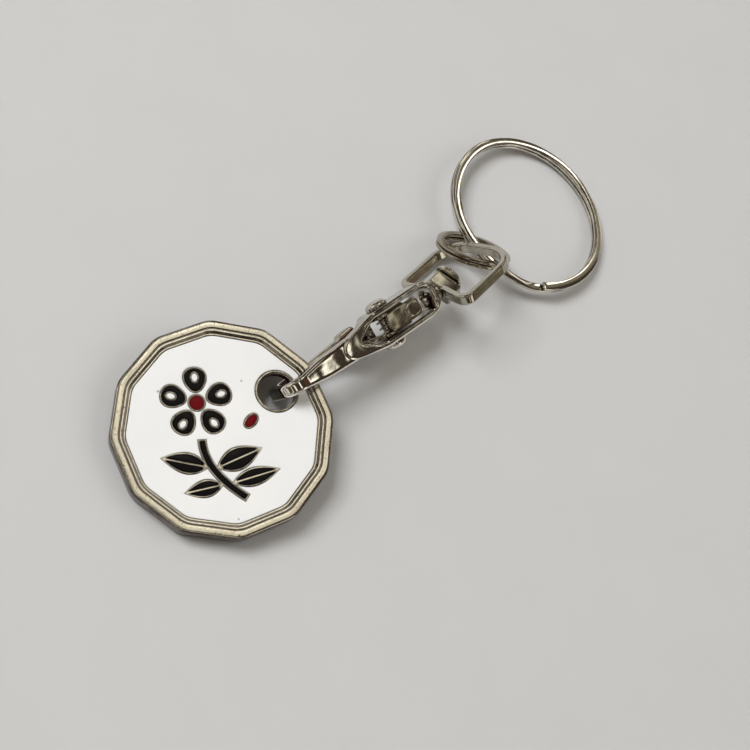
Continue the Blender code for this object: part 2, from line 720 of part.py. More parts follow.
def hook_spine():
    """The hook from its tip, under the token, up through its hole and back over it to the frame."""
    loops = []
    for (run, width_share, thickness_share), lean in zip(TIP_SHARES, TIP_LEAN_SHARES):
        x = HOOK_TIP_X - run * RETURN_THICKNESS
        loop = spine_loop(
            x, HOOK_RETURN_Z, CIRCLE / 2, RETURN_WIDTH * width_share, RETURN_THICKNESS * thickness_share,
        )
        loops.append(leaned(loop, HOOK_RETURN_Z, lean))
    steps = 6
    for i in range(steps + 1):
        t = i / steps
        turn = CIRCLE / 2 - CIRCLE / 4 * t
        x = HOOK_FRONT_X + HOOK_LOW_BEND * (1 - math.sin(CIRCLE / 4 * t))
        z = HOOK_RETURN_Z + HOOK_LOW_BEND * (1 - math.cos(CIRCLE / 4 * t))
        thickness = RETURN_THICKNESS + (FRONT_THICKNESS - RETURN_THICKNESS) * t
        loops.append(spine_loop(x, z, turn, RETURN_WIDTH, thickness))
    for i in range(steps + 1):
        t = i / steps
        turn = CIRCLE / 4 - CIRCLE / 4 * t
        x = HOOK_FRONT_X + HOOK_HIGH_BEND * (1 - math.cos(CIRCLE / 4 * t))
        z = BEAM_Z - HOOK_HIGH_BEND * (1 - math.sin(CIRCLE / 4 * t))
        width = RETURN_WIDTH + (BEAM_FRONT_WIDTH - RETURN_WIDTH) * t
        loops.append(spine_loop(x, z, turn, width, FRONT_THICKNESS))
    start = HOOK_FRONT_X + HOOK_HIGH_BEND
    end = BEAM_END_X - BEAM_TUCK
    for run, widening in BEAM_SHARES + ((1.0, 1.0),):
        width = BEAM_FRONT_WIDTH + (BEAM_REAR_WIDTH - BEAM_FRONT_WIDTH) * widening
        loops.append(spine_loop(start + (end - start) * run, BEAM_Z, 0, width, BEAM_THICKNESS))
    width = BEAM_REAR_WIDTH - 2 * BEAM_TUCK_INSET
    loops.append(spine_loop(BEAM_END_X, BEAM_Z, 0, width, BEAM_THICKNESS - 2 * BEAM_TUCK_INSET))
    return loft("hook_body", loops)


def half_frame(front, side, width, shares, rear, power):
    """One side of the frame's or window's outline, from the middle of its front to the middle of its rear."""
    points = [(front + (side - front) * along, width / 2 * share) for along, share in shares]
    for i in range(1, FRAME_STRAIGHTS):
        points.append((side + (FRAME_CORNER_X - side) * i / FRAME_STRAIGHTS, width / 2))
    for i in range(FRAME_CORNER_POINTS + 1):
        angle = CIRCLE / 4 * (1 - i / FRAME_CORNER_POINTS)
        x = FRAME_CORNER_X + (rear - FRAME_CORNER_X) * max(math.cos(angle), 0) ** (2 / power)
        points.append((x, width / 2 * max(math.sin(angle), 0) ** (2 / power)))
    return points


def whole_frame(half):
    return half + [(x, -y) for x, y in half[-2:0:-1]]


def frame_bottom(x):
    """The height of the frame's underside, which sweeps up to the beam at its front."""
    t = min(max((x - FRAME_SLOPE_FROM_X) / (FRAME_SLOPE_TO_X - FRAME_SLOPE_FROM_X), 0), 1)
    return FRAME_FRONT_Z + (FRAME_BOTTOM_Z - FRAME_FRONT_Z) * t * t * (3 - 2 * t)


def frame():
    """The ring of metal round the gate."""
    outer = whole_frame(half_frame(
        FRAME_FRONT_X, FRAME_SIDE_X, FRAME_WIDTH, FRAME_OUTLINE_SHARES, FRAME_REAR_X, FRAME_REAR_POWER,
    ))
    inner = whole_frame(half_frame(
        WINDOW_FRONT_X, WINDOW_SIDE_X, WINDOW_WIDTH, WINDOW_OUTLINE_SHARES, WINDOW_REAR_X, WINDOW_REAR_POWER,
    ))
    loops = []
    for out, into in zip(outer, inner):
        out, into = Vector(out), Vector(into)
        step = (into - out).normalized() * FRAME_EDGE
        low_out = frame_bottom(out.x)
        low_in = frame_bottom(into.x)
        loop = [
            (*out, low_out + FRAME_EDGE), (*out, FRAME_TOP_Z - FRAME_EDGE),
            (*(out + step), FRAME_TOP_Z), (*(into - step), FRAME_TOP_Z),
            (*into, FRAME_TOP_Z - FRAME_EDGE), (*into, low_in + FRAME_EDGE),
            (*(into - step), low_in), (*(out + step), low_out),
        ]
        loops.append(loop)
    return loft("frame", loops, closed=True)


def rod(name, length, radius, place, axis, steps=28):
    """A round cutter along local x or y, through a place."""
    turn = Matrix.Identity(3) if axis == "x" else Matrix.Rotation(CIRCLE / 4, 3, "Z")
    made = turned(name, [(-length / 2, 0), (-length / 2, radius), (length / 2, radius), (length / 2, 0)], steps, turn)
    made.data.transform(Matrix.Translation(place))
    return made


def hook_body():
    body = join(hook_spine(), frame())
    body = cut(body, rod("bore", FRAME_WIDTH * 2, GATE_RIVET_RADIUS + GATE_RIVET_CLEARANCE, Vector(), "y"))
    wall = Vector((SWIVEL_X, 0, 0))
    return cut(body, rod("bore", (FRAME_REAR_X - WINDOW_REAR_X) * 3, SWIVEL_BORE / 2, wall, "x"))


def gate_arm():
    """The gate's arm, from its nose to its hub."""
    loops = []
    for along, top, bottom, width in GATE_ARM_SHARES:
        x = GATE_NOSE_X + (GATE_ARM_END_X - GATE_NOSE_X) * along
        middle = (top + bottom) / 2 * GATE_DEPTH
        depth = (top - bottom) * GATE_DEPTH
        section = rounded(width * GATE_SHOULDER, depth, GATE_ROUNDING)
        loops.append([(x, across, middle + up) for across, up in section])
    for i, lean in enumerate(NOSE_LEAN_SHARES):
        loops[i] = leaned(loops[i], HOOK_RETURN_Z, lean)
    return loft("gate_lever", loops)


def cheek(side):
    """One of the gate's two cheeks, as an outline in the XZ plane with a thickness in Y."""
    outline = [
        (CHEEK_FOOT_X, GATE_DEPTH * -1.75), (GATE_ARM_END_X, GATE_DEPTH * -1.55),
    ]
    for i in range(9):
        angle = CIRCLE * (-0.3 + 0.02 * i)
        outline.append((HUB_RADIUS * math.cos(angle), HUB_RADIUS * math.sin(angle)))
    outline += [
        (CHEEK_ARM_X, CHEEK_TOP_Z / 2), (CHEEK_ARM_X, CHEEK_TOP_Z),
        (-HUB_RADIUS * HALF_SHARE, CHEEK_TOP_Z),
    ]
    for i in range(6):
        angle = CIRCLE * (0.37 + 0.03 * i)
        outline.append((HUB_RADIUS * math.cos(angle), HUB_RADIUS * math.sin(angle)))
    outline.append((CHEEK_FOOT_X, GATE_DEPTH * -1.0))
    near = side * CHEEK_INNER_Y
    far = side * CHEEK_OUTER_Y
    return loft("cheek", [[(x, y, z) for x, z in outline] for y in (near, far)])


def slab(name, front, rear, width, bottom, top, corner, edge):
    """A pad with rounded corners and a softened upper edge."""
    middle = (front + rear) / 2
    loops = []
    for z, inset in ((bottom, 0), (top - edge, 0), (top, edge)):
        points = rounded(rear - front - 2 * inset, width - 2 * inset, corner - inset, 5)
        loops.append([(middle + x, y, z) for x, y in points])
    return loft(name, loops)


def gate_lever():
    gate = gate_arm()
    gate = join(gate, cheek(1))
    gate = join(gate, cheek(-1))
    gate = join(gate, slab(
        "pad", PAD_FRONT_X, PAD_REAR_X, PAD_WIDTH, PAD_BOTTOM_Z, PAD_TOP_Z, PAD_CORNER, PAD_EDGE,
    ))
    gate = join(gate, slab(
        "thumb", THUMB_FRONT_X, THUMB_REAR_X, THUMB_WIDTH, PAD_BOTTOM_Z + PAD_EDGE, THUMB_TOP_Z, PAD_CORNER,
        THUMB_EDGE,
    ))
    return cut(gate, rod("bore", FRAME_WIDTH * 2, GATE_RIVET_RADIUS + GATE_HUB_CLEARANCE, Vector(), "y"))


def dome(seat, radius, height, outward):
    """A domed rivet head's profile, from its seat to its top."""
    return [(seat + outward * height * up, radius * out) for out, up in DOME_SHARES]


def gate_rivet():
    """The rivet that the gate turns on."""
    low = dome(-RIVET_SEAT_Y, RIVET_HEAD_RADIUS, RIVET_HEAD_HEIGHT, -1)[::-1]
    high = dome(RIVET_SEAT_Y, RIVET_HEAD_RADIUS, RIVET_HEAD_HEIGHT, 1)
    profile = [(-RIVET_SEAT_Y - RIVET_HEAD_HEIGHT, 0)] + low + [(-RIVET_SEAT_Y, GATE_RIVET_RADIUS)]
    profile += [(RIVET_SEAT_Y, GATE_RIVET_RADIUS)] + high + [(RIVET_SEAT_Y + RIVET_HEAD_HEIGHT, 0)]
    return turned("gate_rivet", profile, 28, Matrix.Rotation(CIRCLE / 4, 3, "Z"))


def wire(name, path, diameter, sides=8):
    """A round wire along a path of points."""
    path = [Vector(point) for point in path]
    loops = []
    up = Vector((0, 1, 0))
    for i, point in enumerate(path):
        along = (path[min(i + 1, len(path) - 1)] - path[max(i - 1, 0)]).normalized()
        side = along.cross(up).normalized()
        rise = side.cross(along)
        loop = []
        for j in range(sides):
            angle = CIRCLE * j / sides
            loop.append(point + (side * math.cos(angle) + rise * math.sin(angle)) * diameter / 2)
        loops.append(loop)
    return loft(name, loops)


def gate_spring():
    """A coil round the gate's rivet with one leg under the pad and one under the front of the frame."""
    turns = SPRING_TURNS
    wide = turns * SPRING_PITCH / 2
    path = [(SPRING_REAR_X, wide, SPRING_RADIUS), (SPRING_RADIUS / 2, wide, SPRING_RADIUS)]
    steps = SPRING_TURN_POINTS * turns
    start = CIRCLE / 4
    end = SPRING_LEAVE + CIRCLE * turns
    for i in range(steps + 1):
        angle = start + (end - start) * i / steps
        place = (SPRING_RADIUS * math.cos(angle), wide - 2 * wide * i / steps, SPRING_RADIUS * math.sin(angle))
        path.append(place)
    front = Vector((SPRING_FRONT_X, 0, SPRING_FRONT_Z))
    along = SPRING_RADIUS * 2 / abs(SPRING_FRONT_X)
    path.append((front.x * along, -wide, SPRING_RADIUS + (front.z - SPRING_RADIUS) * along))
    path.append(tuple(front))
    print(f"gate_spring: least gap to itself {least_gap(path, SPRING_WIRE) / MM:.3f} mm")
    return wire("gate_spring", path, SPRING_WIRE)


def least_gap(path, diameter):
    """A wire's least gap to itself, between points along it that lie over half a turn apart."""
    fine = []
    shares = [i / 12 for i in range(12)]
    for low, high in zip(path, path[1:]):
        fine += [Vector(low).lerp(Vector(high), share) for share in shares]
    points = np.array([tuple(point) for point in fine])
    steps = np.linalg.norm(np.diff(points, axis=0), axis=1)
    along = np.concatenate([[0], np.cumsum(steps)])
    apart = np.abs(along[:, None] - along[None, :]) > SPRING_RADIUS * CIRCLE / 2
    gaps = np.linalg.norm(points[:, None] - points[None, :], axis=2)
    return gaps[apart].min() - diameter


def swivel_rivet():
    """The rivet through the frame's end wall, the collar and the bail's boss."""
    profile = [(INNER_HEAD_SEAT - INNER_HEAD_HEIGHT, 0)]
    profile += dome(INNER_HEAD_SEAT, INNER_HEAD_RADIUS, INNER_HEAD_HEIGHT, -1)[::-1]
    profile += [(INNER_HEAD_SEAT, SHANK_RADIUS), (OUTER_HEAD_SEAT, SHANK_RADIUS)]
    profile += dome(OUTER_HEAD_SEAT, OUTER_HEAD_RADIUS, OUTER_HEAD_HEIGHT, 1)
    profile.append((OUTER_HEAD_SEAT + OUTER_HEAD_HEIGHT, 0))
    return turned("swivel_rivet", profile, 28)


def swivel_collar():
    """The washer between the frame and the bail."""
    bore = SHANK_RADIUS + SHANK_CLEARANCE
    rim = [
        (COLLAR_FROM, bore), (COLLAR_FROM, COLLAR_RADIUS - COLLAR_EDGE),
        (COLLAR_FROM + COLLAR_EDGE, COLLAR_RADIUS), (COLLAR_TO - COLLAR_EDGE, COLLAR_RADIUS),
        (COLLAR_TO, COLLAR_RADIUS - COLLAR_EDGE), (COLLAR_TO, bore),
    ]
    loops = []
    steps = 28
    for i in range(steps):
        angle = CIRCLE * i / steps
        loops.append([(x, radius * math.cos(angle), radius * math.sin(angle)) for x, radius in rim])
    return loft("swivel_collar", loops, closed=True)


def bail_path():
    """The bail's centreline and its outward turns, as (x, y, turn)."""
    near = BAIL_BASE_X + BAIL_STRIP / 2
    far = BAIL_FAR_X - BAIL_FAR_CORNER
    left = BAIL_SIDESTEP + BAIL_WIDTH / 2 - BAIL_STRIP / 2
    right = left - BAIL_WIDTH + BAIL_STRIP
    path = []
    corners = (
        (far, left - BAIL_FAR_CORNER, BAIL_FAR_CORNER),
        (near + BAIL_BASE_CORNER, left - BAIL_BASE_CORNER, BAIL_BASE_CORNER),
        (near + BAIL_BASE_CORNER, right + BAIL_BASE_CORNER, BAIL_BASE_CORNER),
        (far, right + BAIL_FAR_CORNER, BAIL_FAR_CORNER),
    )
    for quarter, (x, y, radius) in enumerate(corners):
        for i in range(BAIL_CORNER_POINTS + 1):
            turn = CIRCLE / 4 * (quarter + i / BAIL_CORNER_POINTS)
            path.append((x + radius * math.cos(turn), y + radius * math.sin(turn), turn))
        if quarter == 1:
            path += bail_base(near, left - BAIL_BASE_CORNER, right + BAIL_BASE_CORNER)
    return path


def bail_base(near, left, right):
    """The arched base between the bail's two near corners."""
    path = []
    for i in range(1, BAIL_BASE_POINTS):
        t = i / BAIL_BASE_POINTS
        bow = BAIL_ARCH * (1 - math.cos(CIRCLE * t)) / 2
        slope = BAIL_ARCH * math.pi * math.sin(CIRCLE * t) / (left - right)
        path.append((near + bow, left + (right - left) * t, CIRCLE / 2 + math.atan(slope)))
    return path


def bail():
    """The bail's loop and the boss that its rivet runs through."""
    section = rounded(BAIL_STRIP, BAIL_DEPTH, BAIL_ROUNDING, 3)
    loops = []
    for x, y, turn in bail_path():
        loop = [(x + out * math.cos(turn), y + out * math.sin(turn), up - BAIL_DROP) for out, up in section]
        loops.append(loop)
    loop = join(loft("bail", loops, closed=True), boss())
    bore = SHANK_RADIUS + SHANK_CLEARANCE
    return cut(loop, rod("bore", BOSS_LENGTH * 3, bore, Vector(((BOSS_FROM + BOSS_TO) / 2, 0, 0)), "x"))


def boss():
    """The block in the bail's base that its rivet runs through, rolled against the loop."""
    turn = Matrix.Rotation(BOSS_ROLL, 4, "X")
    loops = []
    for x, inset in (
        (BOSS_FROM, BOSS_EDGE), (BOSS_FROM + BOSS_EDGE, 0), (BOSS_TO - BOSS_EDGE, 0), (BOSS_TO, BOSS_EDGE),
    ):
        points = rounded(BOSS_WIDTH - 2 * inset, BOSS_DEPTH - 2 * inset, BOSS_ROUNDING, 4)
        loops.append([turn @ Vector((x, across - BOSS_SIDESTEP, up)) for across, up in points])
    return loft("boss", loops)


def split_ring(name, radius, width, height, gap, rounding, steps, phase):
    """One strip wound nearly twice round z, with a crank from its upper layer to its lower."""
    thick = (height - gap) / 2
    rise = (thick + gap) / 2
    section = rounded(width, thick, rounding, 2)
    middle = radius - width / 2
    stops = [CIRCLE * i / steps for i in range(steps * 2) if CIRCLE * i / steps < RING_END]
    stops.append(RING_END)
    loops = []
    for angle in stops:
        t = min(max((angle - RING_CRANK_FROM) / (RING_CRANK_TO - RING_CRANK_FROM), 0), 1)
        z = rise * (1 - 2 * t * t * (3 - 2 * t))
        turn = angle + phase
        loop = []
        for out, up in section:
            loop.append(((middle + out) * math.cos(turn), (middle + out) * math.sin(turn), z + up))
        loops.append(loop)
    return loft(name, loops)


def turn_of(azimuth, elevation):
    """The turn that brings z to an axis leaning by an elevation's share towards an azimuth."""
    return Matrix.Rotation(azimuth, 4, "Z") @ Matrix.Rotation(elevation, 4, "Y")


def build_coin(root):
    lean = Matrix.Rotation(-COIN_LEAN, 4, "Y")
    normal = lean @ Vector((0, 0, 1))
    field = COIN_THICKNESS - ENAMEL_DROP
    centre = Vector((0, 0, COIN_ACROSS / 2 * math.sin(COIN_LEAN) + field * math.cos(COIN_LEAN))) - normal * field
    world = Matrix.Translation(centre) @ lean
    hole = world @ Matrix.Translation(Vector((HOLE_OFFSET, -HOLE_SIDESTEP, COIN_THICKNESS / 2)))
    swing = pivot("coin_pivot", root, hole)
    body = finish(coin_body(), swing, world, metal("coin_body", roughness=0.14))
    for piece, colour in enamel_pieces():
        finish(piece, swing, world, enamel(piece.name, colour))
    return body


def build_clip(root):
    """The clip with its gate, rivets and spring, and the tilted swivel's frame."""
    turn = Matrix.Rotation(CLIP_YAW, 4, "Z") @ Matrix.Rotation(CLIP_PITCH, 4, "Y")
    turn = turn @ Matrix.Rotation(CLIP_ROLL, 4, "X")
    offset = Vector((CLIP_REACH, -CLIP_SIDESTEP, COIN_THICKNESS / 2 + CLIP_LIFT))
    world = Matrix.Translation(worlds["coin_pivot"].translation + offset) @ turn
    clip = pivot("clip_pivot", root, world)
    finish(hook_body(), clip, world, metal("hook_body"))
    finish(gate_rivet(), clip, world, metal("gate_rivet"))
    finish(gate_spring(), clip, world, metal("gate_spring", SPRING_STEEL, 0.3))
    gate = pivot("gate_pivot", clip, world)
    finish(gate_lever(), gate, world, metal("gate_lever", GATE_STEEL, 0.22))
    turn = Matrix.Rotation(BAIL_YAW, 4, "Z") @ Matrix.Rotation(-BAIL_PITCH, 4, "Y")
    turn = turn @ Matrix.Rotation(BAIL_ROLL, 4, "X")
    seat = world @ Vector((SWIVEL_X, -SWIVEL_SIDESTEP, SWIVEL_RISE))
    world = Matrix.Translation(seat) @ turn
    swivel = pivot("swivel_pivot", clip, world)
    finish(swivel_rivet(), swivel, world, metal("swivel_rivet"))
    finish(swivel_collar(), swivel, world, metal("swivel_collar"))
    return swivel


def build_links(swivel):
    """The bail on its swivel, the small ring through it and the large ring through that."""
    world = worlds[swivel.name]
    turning = pivot("bail_pivot", swivel, world)
    loop = finish(bail(), turning, world, metal("bail"))
    bar = Vector((BAIL_FAR_X, SMALL_HINGE_Y, -BAIL_DROP))
    hinge = pivot("small_ring_pivot", loop, world @ Matrix.Translation(bar))
    place = worlds[hinge.name].translation + SMALL_RING_FROM_BAR
    world = Matrix.Translation(place) @ turn_of(SMALL_RING_AZIMUTH, SMALL_RING_ELEVATION)
    small = split_ring(
        "small_split_ring", SMALL_RING_RADIUS, SMALL_RING_WIDTH, SMALL_RING_HEIGHT, SMALL_RING_GAP,
        SMALL_RING_ROUNDING, SMALL_RING_STEPS, SMALL_RING_PHASE,
    )
    finish(small, hinge, world, metal("small_split_ring"))
    lead = turn_of(LARGE_LEAD_AZIMUTH, LARGE_LEAD_DROP) @ Vector((LARGE_RING_RADIUS + LARGE_RING_LEAD, 0, 0))
    place += lead
    world = Matrix.Translation(place) @ turn_of(LARGE_RING_AZIMUTH, LARGE_RING_ELEVATION)
    radius = LARGE_RING_RADIUS - LARGE_RING_WIDTH / 2
    place = Matrix.Rotation(LARGE_HINGE_ANGLE, 4, "Z") @ Matrix.Translation(Vector((radius, 0, 0)))
    hinge = pivot("large_ring_pivot", small, world @ place)
    large = split_ring(
        "large_split_ring", LARGE_RING_RADIUS, LARGE_RING_WIDTH, LARGE_RING_HEIGHT, LARGE_RING_GAP,
        LARGE_RING_ROUNDING, LARGE_RING_STEPS, LARGE_RING_PHASE,
    )
    finish(large, hinge, world, metal("large_split_ring"))


def centre(root):
    """Moves the whole so that the middle of its box's bottom is at the origin."""
    bpy.context.view_layer.update()
    corners = []
    for item in bpy.context.scene.objects:
        if item.type == "MESH":
            points = np.empty(len(item.data.vertices) * 3)
            item.data.vertices.foreach_get("co", points)
            points = points.reshape(-1, 3) @ np.array(item.matrix_world.to_3x3()).T
            points += np.array(item.matrix_world.translation)
            corners += [points.min(0), points.max(0)]
    low = np.min(corners, 0)
    high = np.max(corners, 0)
    root.location = (-(low[0] + high[0]) / 2, -(low[1] + high[1]) / 2, -low[2])
    bpy.context.view_layer.update()


def main():
    for item in list(bpy.data.objects):
        bpy.data.objects.remove(item)
    root = pivot("keyring", None, Matrix.Identity(4))
    build_coin(root)
    swivel = build_clip(root)
    build_links(swivel)
    centre(root)


main()
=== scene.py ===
"""The looks of a trolley coin keyring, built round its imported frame.

Shapes are made in millimetres in each piece's own frame, then set in the row frame in metres.
"""

from math import atan, atan2, cos, hypot, pi, sin, sqrt

import bmesh
import bpy
import numpy as np
from mathutils import Matrix, Vector


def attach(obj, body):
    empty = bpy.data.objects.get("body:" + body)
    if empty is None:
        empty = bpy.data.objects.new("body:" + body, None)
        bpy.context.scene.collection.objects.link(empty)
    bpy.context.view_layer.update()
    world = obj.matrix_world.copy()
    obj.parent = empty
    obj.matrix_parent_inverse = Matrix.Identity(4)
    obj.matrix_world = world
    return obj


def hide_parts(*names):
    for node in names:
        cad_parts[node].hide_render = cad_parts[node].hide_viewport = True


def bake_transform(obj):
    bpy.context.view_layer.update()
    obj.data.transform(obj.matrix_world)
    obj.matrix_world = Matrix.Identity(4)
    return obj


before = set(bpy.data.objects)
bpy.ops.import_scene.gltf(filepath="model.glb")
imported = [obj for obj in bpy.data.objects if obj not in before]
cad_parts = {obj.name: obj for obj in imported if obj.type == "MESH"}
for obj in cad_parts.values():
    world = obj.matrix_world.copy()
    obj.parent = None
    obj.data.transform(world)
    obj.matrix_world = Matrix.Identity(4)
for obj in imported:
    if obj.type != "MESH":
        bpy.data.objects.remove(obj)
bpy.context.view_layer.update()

MM = 0.001
DEG = pi / 180
CIRCLE = 2 * pi
ROOT_SHIFT = Vector((-24.8014, 0, 0.0946))

# Token. Lengths are in millimetres here and below, up to the looks.
COIN_ACROSS = 23.43
COIN_THICKNESS = 1.9
COIN_SIDES = 12
COIN_CORNER_RUN = 0.8
COIN_LEAN = 6 * DEG
FIELD_DROP = 0.35
ENAMEL_DROP = 0.4
POCKET_DROP = 0.85
RIM_TO_FIELD = 1.6
HOLE_RADIUS = 2.0
HOLE_OFFSET = 7.0
HOLE_SIDESTEP = 0.15
HOLE_CHAMFER = 0.15
HOLE_COLLAR = 0.35
METAL_LINE = 0.2
ENAMEL_GAP = 0.02
ENAMEL_FLOOR_GAP = 0.05
ENAMEL_CROWN = 0.03
CELL_DRAW = 0.5
OVERRUN = 1
CORNER_STEPS = 6
HOLE_POINTS = 96
OVAL_POINTS = 48
PETAL_POINTS = 72
STEM_STEPS = 29
LEAF_STEPS = 36
CELL_STEPS = 26
ART_TURN = 57 * DEG
FLOWER = (-2.6, 2.8)
PETALS = 5
PETAL_INNER = 1.25
PETAL_OUTER = 3.7
PETAL_WIDTH = 2.1
PETAL_SKEW = 0.25
SPOT_RADIUS = 2.75
SPOT_LENGTH = 0.9
SPOT_WIDTH = 0.6
STEM_WIDTH = 0.55
STEM = ((-2.4, -1.3), (-2.4, -4.5), (1.6, -7.4))
LEAVES = (
    ((-2.15, -4.05), (-6.6, -2.9), 1.9),
    ((-0.94, -4.12), (3.6, -2.4), 2.1),
    ((0.53, -5.83), (5.3, -4.7), 1.6),
    ((-0.84, -6.0), (-4.5, -6.6), 1.5),
)
LEAF_BULGE = 0.85
LEAF_CELL = (0.08, 0.9)
# Ovals as (centre, length, width, turn).
DISC = (FLOWER, 1.5, 1.5, 0)
BUD = ((2.9, 0.6), 1.6, 0.9, CIRCLE / 8)
# The rim's steps from the sunk field to the side, as (inset, drop).
RIM_PROFILE = (
    (1.4, 0.35), (1.385, 0.33), (1.165, 0.125), (1.15, 0.105), (1.13, 0.1), (0.97, 0.1), (0.95, 0.105),
    (0.935, 0.13), (0.92, 0.175), (0.9, 0.18), (0.85, 0.18), (0.83, 0.172), (0.815, 0.13), (0.8, 0.03),
    (0.78, 0.008), (0.74, 0), (0.32, 0), (0.25, 0.005), (0.16, 0.025), (0.08, 0.06), (0.03, 0.11), (0, 0.2),
)
# The hole's steps below the field, the worn edges of the metal lines and the enamel's edges, drawn down at
# their walls as it sets, each as (depth, growth).
HOLE_STEPS = ((0.24, 0), (0.2, 0.02), (0.17, 0.11), (0.05, 0.13), (0, HOLE_CHAMFER), (-OVERRUN, 0.16))
WORN_EDGE = ((0.07, 0), (0.04, 0.01), (0.015, 0.035), (0, 0.065), (-0.01, 0.07))
DRAWN_EDGE = ((0.05, 0), (0.025, 0.02), (0.01, 0.06), (0.002, 0.13), (0, 0.2))

# Trigger clip.
CLIP_OFFSET = Vector((15.08, -1.07, 1.65))
CLIP_TURN = (-0.9 * DEG, 1.5 * DEG, 16 * DEG)
HOOK_TIP_X = -9.35
HOOK_FRONT_X = -14.75
HOOK_RETURN_Z = -3.9
HOOK_LOW_BEND = 1.45
HOOK_HIGH_BEND = 1.6
RETURN_WIDTH = 1.4
RETURN_THICKNESS = 1.3
FRONT_THICKNESS = 1.45
BEAM_Z = 0.98
BEAM_THICKNESS = 1.46
BEAM_FRONT_WIDTH = 1.6
BEAM_REAR_WIDTH = 2.75
BEAM_END_X = -5.3
BEAM_TUCK = 0.8
BEAM_TUCK_INSET = 0.15
# The tip's sections as (run, width, thickness, lean), each a share.
TIP = ((0, 0.71, 0.73, 1), (0.12, 0.86, 0.88, 1), (0.35, 0.96, 0.97, 0.7), (0.8, 1, 1, 0.2))
NOSE_SLOPE = 0.42
CROWN = 0.14
SPINE_ROUNDING = 0.34
SPINE_ROUNDING_SHARE = 0.4
BEND_STEPS = 24
BEAM_RUN = ((0, 0), (0.4, 0.61), (0.7, 0.82), (1, 1))
FRAME_WIDTH = 4.2
FRAME_CORNER_X = 4.6
FRAME_TOP_Z = 1.75
FRAME_FRONT_Z = 0.35
FRAME_BOTTOM_Z = -1.6
FRAME_SLOPE_X = (-4.6, -1.6)
FRAME_EDGE = 0.22
FRAME_SIDE_STEPS = 8
FRAME_REAR_STEPS = 32
# The frame and its window: front, side, width, outline as shares of these, rear, power of its rounding.
FRAME = (-7.6, -1.7, FRAME_WIDTH, (
    (0, 0), (0.04, 0.3), (0.13, 0.5), (0.22, 0.59), (0.335, 0.676), (0.47, 0.752), (0.61, 0.819),
    (0.74, 0.889), (0.847, 0.943), (0.93, 0.985), (1, 1),
), 7.25, 2.8)
WINDOW = (-4.9, -1.75, 2.8, (
    (0, 0), (0.06, 0.2), (0.16, 0.35), (0.25, 0.443), (0.36, 0.56), (0.48, 0.68), (0.6, 0.785),
    (0.7, 0.857), (0.8, 0.93), (0.9, 0.98), (1, 1),
), 6.35, 5.0)
GATE_NOSE_X = -9.2
GATE_ARM_END_X = -1.45
GATE_DEPTH = 1.2
GATE_SHOULDER = 3.4
GATE_ROUNDING = 0.22
GATE_LEAN = ((0, 0.03, 0.08, 0.12), (1, 1, 0.8, 0))
# The gate's arm as (share of its run, top, bottom, share of its width).
GATE_ARM = (
    (0, -2.77, -3.48, 0.38), (0.03, -2.69, -3.56, 0.43), (0.08, -2.65, -3.6, 0.44),
    (0.41, -2.19, -3.14, 0.62), (0.54, -1.79, -2.79, 0.72), (0.58, -1.75, -2.75, 0.91),
    (0.72, -1.62, -2.67, 1), (0.813, -1.54, -2.46, 1), (0.852, -1.48, -2.3, 0.65), (0.93, -1, -2, 0.73),
    (1, -0.5, -1.67, 0.73),
)
CHEEK_Y = (0.92, 1.3)
HUB_RADIUS = 1.25
CHEEK_ARM_X = 2.5
CHEEK_FOOT_X = -1.95
CHEEK_TOP_Z = 1.16
CHEEK_LOW = (-1.75, -1.55, -1.0)
# The cheek's arcs round the hub as (start, sweep, steps), in shares of a circle.
HUB_LOW_ARC = (-0.3, 0.16, 24)
HUB_HIGH_ARC = (0.37, 0.15, 15)
# The pad and the thumb's rise on it: front, rear, width, bottom, top, corner, edge.
PAD = (-0.5, 4.4, 2.2, 1.05, 1.42, 0.7, 0.08)
THUMB = (2.3, 4.2, 1.7, 1.13, 1.68, 0.7, 0.16)
EDGE_BREAK = 0.3
RIVET_RADIUS = 0.6
RIVET_CLEARANCE = 0.04
HUB_CLEARANCE = 0.06
RIVET_HEAD = (2.13, 1.3, 0.8)
DOME = ((1, 0), (1, 0.3), (0.93, 0.58), (0.74, 0.83), (0.42, 0.96), (0.12, 0.998))
SPRING_RADIUS = 0.84
SPRING_WIRE = 0.24
SPRING_WIDE = 0.71
SPRING_REAR_X = 2.2
SPRING_FRONT = (-5.2, 0.12)
SPRING_TURNS = 8 * DEG + CIRCLE * 2
SPRING_STEPS = 72
WIRE_SIDES = 14
BORE_SIDES = 64
RIVET_SIDES = 72
# Voxel size and rounds of smoothing for the cast pieces.
CASTING_WEAR = (0.055, 7)
GATE_WEAR = (0.04, 5)
BAIL_WEAR = (0.05, 5)

# Swivel and bail.
SWIVEL_AT = Vector((6.8, -0.25, 0.04))
SWIVEL_BORE = 1.68
SWIVEL_BORE_LENGTH = 3
SHANK_RADIUS = 0.45
SHANK_CLEARANCE = 0.05
INNER_HEAD = (-0.7, 0.75, 0.7)
COLLAR = (0.71, 1.18, 1.1, 0.1)
COLLAR_SIDES = 64
COLLAR_EDGE_STEPS = 5
